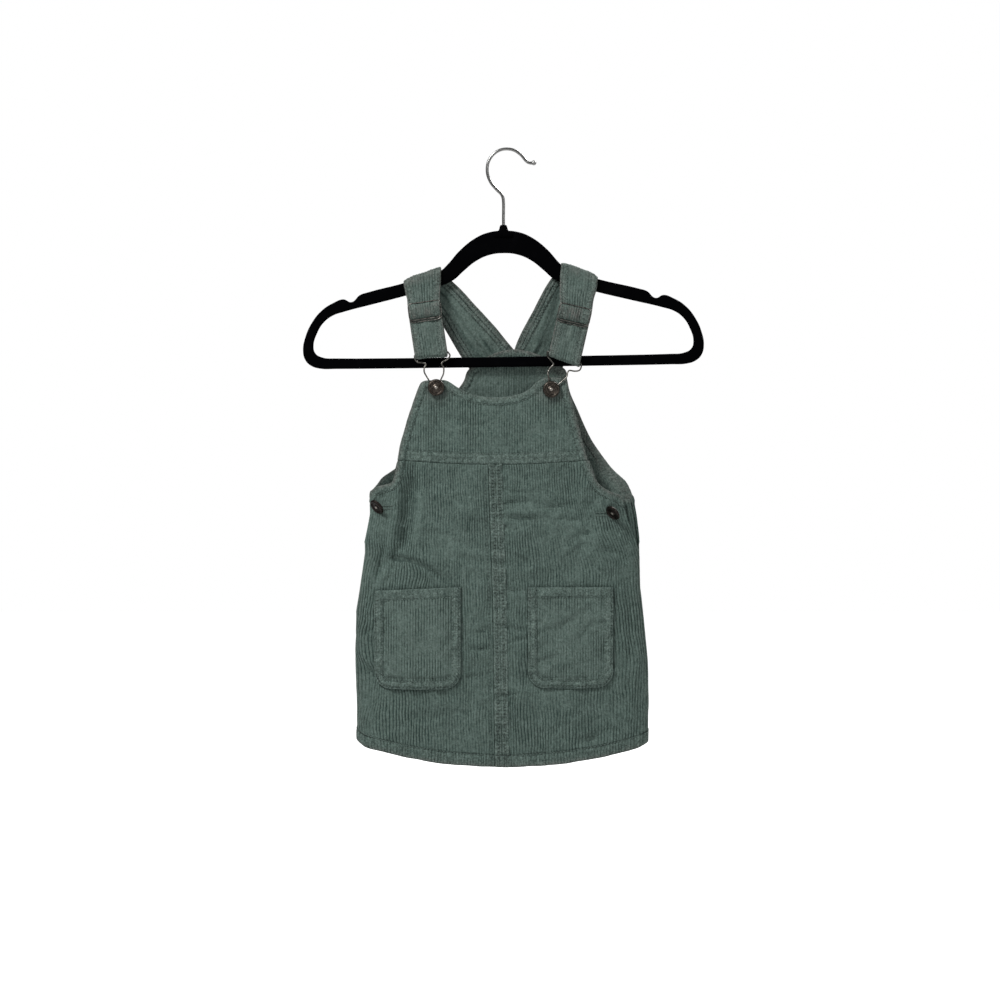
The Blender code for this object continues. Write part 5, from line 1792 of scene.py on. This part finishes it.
def make_slider(side):
    """A ring with a bar across its middle, and a second wire close under its lower side."""
    size, half = SLIDER[side], SLIDER_HALF_DRAWN
    top, low = (ruling(size[key], size["lean"], half) for key in ("top", "bottom"))
    corners = [top[1], top[0], low[0], low[1]]
    ring = []
    for k in range(4):
        ring += round_corner(corners[k], corners[k - 1], corners[(k + 1) % 4], SLIDER_BEND)
    middle = tuple((a + b) / 2 for a, b in zip(size["top"], size["bottom"]))
    bar = ruling(middle, size["lean"], half)
    down = np.array(size["bottom"]) - np.array(size["top"])
    lower = np.array(size["bottom"]) + down / np.linalg.norm(down) * SLIDER_EXTRA_DRAWN
    first, last = ruling(lower, size["lean"], half - SLIDER_EXTRA_SHORTER)
    extra = [low[0]] + round_corner(first, low[0], last, SLIDER_EXTRA_BEND, 4)
    extra += round_corner(last, first, low[1], SLIDER_EXTRA_BEND, 4) + [low[1]]
    runs = [([(x, SLIDER_Y, z) for x, z in line], line is ring) for line in (ring, bar, extra)]
    wire_piece("slider_wire_" + side, runs, WIRE_D * SLIDER_WIRE_DRAWN, SLIDER_WIRE,
               ("slider_" + side,))


def point_on_front(x, z, rise):
    return dress_point(turn_at(x, z), z, rise, fine=False)[0]


def clip_depth(z, side):
    """A clip leaves the strap's loop at its depth and comes to the button's at the bib."""
    button = BIB_BUTTONS[side]
    on_bib = point_on_front(*button, EDGE_RISE)[1] - GAP - WIRE_D / 2
    top, low = LOOP[side]["mid"][1] - 6.0, button[1] + 10.0
    share = max(0.0, min(1.0, (top - z) / (top - low)))
    return LOOP_Y + (on_bib - LOOP_Y) * share * share * (3 - 2 * share)


def make_clip(side):
    loop, button, inwards = LOOP[side], BIB_BUTTONS[side], INWARDS[side]
    inner, outer = ruling(loop["mid"], loop["lean"], inwards * (STRAP_HALF + CLIP_ROOM))
    round_shank = []
    for k in range(7):
        cos, sin = cos_sin(155 + 230 * k / 6)
        round_shank.append((button[0] + inwards * CLIP_LOOP_R * cos, button[1] + CLIP_LOOP_R * sin))
    inner = (inner[0] - CLIP_INNER_SHORTER[side], inner[1])
    path = [outer] + list(CLIP_OUTER[side]) + round_shank + list(CLIP_INNER[side]) + [inner]
    points = [(x, clip_depth(z, side), z) for x, z in smooth_line(path, 6)]
    wire_piece("clip_wire_" + side, [(points, True)], WIRE_D * WIRE_DRAWN, DARK_WIRE,
               ("clip_" + side,))


def turned(profile, segments):
    """A body of revolution round +Z from rows of radius and height, closed at both ends."""
    angles = 2 * math.pi * np.arange(segments) / segments
    verts = [(r * math.cos(a), r * math.sin(a), h) for r, h in profile for a in angles]
    faces = []
    for i in range(len(profile) - 1):
        for k in range(segments):
            n = (k + 1) % segments
            faces.append((i * segments + k, i * segments + n, (i + 1) * segments + n,
                          (i + 1) * segments + k))
    faces.append(tuple(reversed(range(segments))))
    faces.append(tuple((len(profile) - 1) * segments + k for k in range(segments)))
    return np.array(verts), faces


BUTTON_SHANK = (
    # more than the shank's radius, height from the cloth; then height from the neck
    ((-0.25, GAP), (0.0, GAP + 0.3)),
    ((0.0, -0.3), (0.4, 0.0)),
)
BUTTON_RIM = (
    # less than the button's radius, height from the neck
    (1.6, 0.05), (0.55, 0.3), (0.1, 0.8), (0.0, 1.3), (0.25, 1.8),
)
BUTTON_FACE = (
    # less than the button's radius, height from the top: the rim's crest and the moat
    (0.7, -0.3), (1.15, -0.08), (1.5, 0.0), (1.85, -0.1), (2.1, -0.5), (2.35, -0.95),
    (2.7, -1.05), (3.0, -0.85), (3.3, -0.8), (3.6, -0.95), (4.2, -1.0),
)
BUTTON_BOSS = (
    # radius, height from the top
    (2.9, -0.95), (2.5, -0.6), (2.0, -0.3), (1.5, -0.2), (1.15, -0.15), (0.95, 0.05), (0.55, 0.2),
    (0.02, 0.22),
)


def button_profile(neck):
    """Radius and height from the cloth, for a shank button with a rim, a moat and a boss."""
    top = neck + BUTTON_T
    foot, shank = BUTTON_SHANK
    return (
        (0.02, GAP),
        *((SHANK_R + more, height) for more, height in foot),
        *((SHANK_R + more, neck + height) for more, height in shank),
        *((BUTTON_R - less, neck + height) for less, height in BUTTON_RIM),
        *((BUTTON_R - less, top + height) for less, height in BUTTON_FACE),
        *((radius, top + height) for radius, height in BUTTON_BOSS),
    )


BUTTON_SEGMENTS = 48
BUTTON_BRIGHT = 0.9          # how clean the boss's nub is rubbed


def make_button(name, place, out, neck, node, mat):
    profile = button_profile(neck)
    verts, faces = turned(profile, BUTTON_SEGMENTS)
    radius, height = np.array(profile).T
    nub = (radius < 1.2) & (height > neck + 1.0)
    turn = np.array(Vector((0, 0, 1)).rotation_difference(Vector(out)).to_matrix())
    new_piece(name, verts @ turn.T + np.array(place), faces, mat, "bronze", replaces=(node,),
              attributes={"bright": np.repeat(nub * BUTTON_BRIGHT, BUTTON_SEGMENTS)})


# The side buttons lie turned in their buttonholes; this is the way that their faces look.
SIDE_BUTTON_FACING = Vector((-0.62, -0.50, -0.60)).normalized()
SIDE_BUTTON_LIFT = {"left": 2.8, "right": 5.2}
SIDE_BUTTON_SHIFT = (1.5, 2.0)
SIDE_BUTTON_NECK = 1.2


def make_buttons():
    for side, (x, z) in BIB_BUTTONS.items():
        depth = point_on_front(x, z, EDGE_RISE)[1]
        make_button("bib_shank_button_" + side, (x, depth, z), (0, -1, 0), GAP * 2 + WIRE_D,
                    "bib_button_" + side, BRONZE)
    for side, (x, z) in SIDE_BUTTONS.items():
        place = point_on_front(x + SIDE_BUTTON_SHIFT[0], z + SIDE_BUTTON_SHIFT[1], SIDE_BUTTON_LIFT[side])
        make_button("side_shank_button_" + side, place, SIDE_BUTTON_FACING, SIDE_BUTTON_NECK,
                    "side_button_" + side, BRONZE_DULL)


# ======== the hanger
def tilted(x, z):
    return x, z + TILT * x


def outline(half):
    right = [tilted(x, z) for x, z in half]
    left = [tilted(-x, z) for x, z in reversed(half) if x > 0.0]
    return right + left


def flat_hanger():
    """The hanger's outline with its window, as a curve lying flat, stood up and made a mesh."""
    curve = new_curve("hanger_flocked", "2D", HANGER_ROUND, 5)
    curve.fill_mode = "BOTH"
    curve.extrude = (HANGER_T / 2 - HANGER_ROUND) * MM
    curve.offset = -HANGER_ROUND * MM
    curve.resolution_u = 8
    for half in (HANGER_OUTER, HANGER_INNER):
        points = outline(half)
        spline = curve.splines.new("BEZIER")
        spline.bezier_points.add(len(points) - 1)
        for knot, (x, z) in zip(spline.bezier_points, points):
            knot.co = (x * MM, z * MM, 0.0)
            knot.handle_left_type = knot.handle_right_type = "AUTO"
        spline.use_cyclic_u = True
    flat = placed("flat_hanger", curve)
    flat.rotation_euler = (math.pi / 2, 0.0, 0.0)
    bpy.context.view_layer.update()
    mesh = bpy.data.meshes.new_from_object(flat.evaluated_get(bpy.context.evaluated_depsgraph_get()))
    mesh.transform(flat.matrix_world)
    bpy.data.objects.remove(flat, do_unlink=True)
    return mesh


def make_hanger():
    mesh = flat_hanger()
    mesh.materials.clear()
    mesh.materials.append(FLOCK)
    mesh.shade_smooth()
    declared(placed("hanger_flocked", mesh), ("hanger_body",))

    profile = tuple((radius, z) for z, radius in reversed(NECK))
    verts, faces = turned(profile + (profile[0],), 40)
    # The flare at its foot runs along the arch and stays within the hanger's thickness.
    verts[:, 1] = np.clip(verts[:, 1], -NECK_DEPTH, NECK_DEPTH)
    new_piece("hanger_neck", verts, faces[:-2], FLOCK, "flock")


def make_hook():
    line = [(x, 0.0, z) for x, z in smooth_line(HOOK_LINE, 8)]
    wire_piece("hook_wire", [(line, False)], HOOK_D, STEEL, ("hanger_hook",), sides=8)
    half_circle = [cos_sin(angle) for angle in range(-90, 91, 12)]
    verts, faces = turned([(HOOK_TIP_R * cos + 0.01, HOOK_TIP_R * sin) for cos, sin in half_circle], 28)
    tip = HOOK_LINE[-1]
    new_piece("hook_tip", verts + np.array([tip[0], 0.0, tip[1]]), faces, STEEL, "hook_steel")


# ======== sewing on the panels
# Which parts of the edges and hems have their rows of stitches, from one X to another.
EDGE_PARTS = {
    "front": ((-999.0, -95.2), (-94.0, 74.5), (75.5, 999.0)),
    "back": ((-999.0, -93.0), (-90.0, 90.0), (93.0, 999.0)),
}
WAIST_PARTS = {"front": (-86.0, 67.0), "back": (-82.0, 82.0)}
HEM_PARTS = {
    "front": ((-127.0, -9.0), (7.0, 125.0)),
    "back": ((-126.0, 124.0),),
}


def sew_edges(line, side):
    """The topstitch row along a free edge."""
    for first, last in EDGE_PARTS[side]:
        part = line[(line[:, 0] > first) & (line[:, 0] < last)]
        stitch_on_form(inset_line(run_of(part, 1.0), -EDGE_STITCH), side == "back", 0.25)


def sew_waist(side):
    x = np.linspace(*WAIST_PARTS[side], 60)
    for by in WAIST_ROWS:
        stitch_on_form(np.stack([x, seam_z(x) - 0.1 + by], axis=1), side == "back", 0.15)


def sew_hem(side):
    for first, last in HEM_PARTS[side]:
        x = np.linspace(first, last, 120)
        stitch_on_form(np.stack([x, hem_z(x, side) + HEM_STITCH], axis=1), side == "back", 0.15)


BAND_SEWN = (-284.0, -549.0)     # from below the waist seam to the hem


def sew_centre_band():
    z = np.linspace(*BAND_SEWN, 160)
    for offset in (-BAND_W / 2 + BAND_STITCH, BAND_W / 2 - BAND_STITCH):
        stitch_on_form(np.stack([centre_x(z) + offset, z], axis=1), rise=BAND_RISE)


BUTTONHOLE_HALF = 1.5
BUTTONHOLE_L = 15.5
BUTTONHOLE_STITCH = 0.62     # from one of its stitches to the next
BUTTONHOLE_CUT = 0.35        # half the gap between its two rows


def sew_buttonholes():
    """A worked buttonhole beside each side button, towards the middle of the front."""
    for side, (button_x, button_z) in SIDE_BUTTONS.items():
        for along in np.arange(-1.0, BUTTONHOLE_L - 1.0, BUTTONHOLE_STITCH):
            x = np.full(2, button_x + INWARDS[side] * along)
            for half in (-1, 1):
                z = button_z + half * np.array([BUTTONHOLE_CUT, BUTTONHOLE_HALF + 0.5])
                stitch_line(*dress_point(turn_at(x, z), z, 0.3), 0.1, BUTTONHOLE_HALF)


# ======== camera and light
PHOTO_MM = 0.891          # of the object to one pixel of the photograph
PHOTO_SIDE = 1000
VIEW_MIDDLE = (-3.1, -313.2)
LENS = 85.0
SENSOR = 36.0
DRESS_MIDDLE = (0.0, 0.0, -0.36)
DRESS_FRONT = 0.012
LIGHTS = (
    # name, place, size, power
    ("key", (-0.85, -0.90, 0.90), 0.45, 34.0),
    ("fill", (1.3, -1.4, 0.1), 1.0, 8.0),
    ("back", (0.7, 1.1, 0.8), 0.6, 34.0),
)
WHITE = (1.0, 1.0, 1.0)
WORLD_LIGHT = 0.24           # what the white surround gives; it is seen as 1
FLOOR_LEVEL = -0.70
FLOOR_HALF = 6.0


def make_camera():
    data = bpy.data.cameras.new("camera")
    data.lens = LENS
    data.sensor_width = SENSOR
    camera = placed("camera", data)
    distance = PHOTO_MM * PHOTO_SIDE * MM * LENS / SENSOR
    camera.location = (VIEW_MIDDLE[0] * MM, -distance - DRESS_FRONT, VIEW_MIDDLE[1] * MM)
    camera.rotation_euler = (math.pi / 2, 0.0, 0.0)
    bpy.context.scene.camera = camera


def area_light(name, place, size, power):
    data = bpy.data.lights.new(name, "AREA")
    data.size = size
    data.energy = power
    light = placed(name, data)
    light.location = place
    way = Vector(DRESS_MIDDLE) - Vector(place)
    light.rotation_euler = way.to_track_quat("-Z", "Y").to_euler()


def seen_or_not(tree, unseen, seen):
    """One value for what the picture shows and another for the light that a surface gives."""
    return new_value(tree, "ShaderNodeLightPath", {}, "Is Camera Ray").ramp(0.0, 1.0, unseen, seen)


def make_light():
    """A soft light from above and in front, as the photograph's, and a white surround."""
    scene = bpy.context.scene
    scene.view_settings.view_transform = "Standard"
    world = bpy.data.worlds.new("studio")
    scene.world = world
    world.use_nodes = True
    tree = world.node_tree
    feed(tree.nodes["Background"], {"Color": WHITE, "Strength": seen_or_not(tree, WORLD_LIGHT, 1.0)})
    for row in LIGHTS:
        area_light(*row)


def make_floor():
    mesh = bpy.data.meshes.new("floor")
    corners = ((-1, -1), (1, -1), (1, 1), (-1, 1))
    mesh.from_pydata([(x * FLOOR_HALF, y * FLOOR_HALF, FLOOR_LEVEL) for x, y in corners], [],
                     [(0, 1, 2, 3)])
    mat, tree, shader = nodes_of("floor")
    feed(shader, {
        "Base Color": (0.75, 0.75, 0.75),
        "Roughness": 0.9,
        "Specular IOR Level": 0.0,
        "Emission Color": WHITE,
        "Emission Strength": seen_or_not(tree, 0.0, 0.9),
    })
    mesh.materials.append(mat)
    placed("floor", mesh)


make_camera()
make_light()
make_floor()
make_hanger()
make_hook()
make_front_skirt_left()
make_front_skirt_right()
make_front_bib()
make_back_skirt()
make_back_bib()
for pocket in POCKETS:
    make_pocket(pocket)
for side in ("left", "right"):
    make_underlap(side)
    make_strap(side)
    make_slider(side)
    make_clip(side)
make_buttons()
sew_edges(FRONT_LINE, "front")
sew_edges(BACK_LINE, "back")
sew_waist("front")
sew_waist("back")
sew_centre_band()
sew_hem("front")
sew_hem("back")
sew_buttonholes()
make_stitches("stitches")
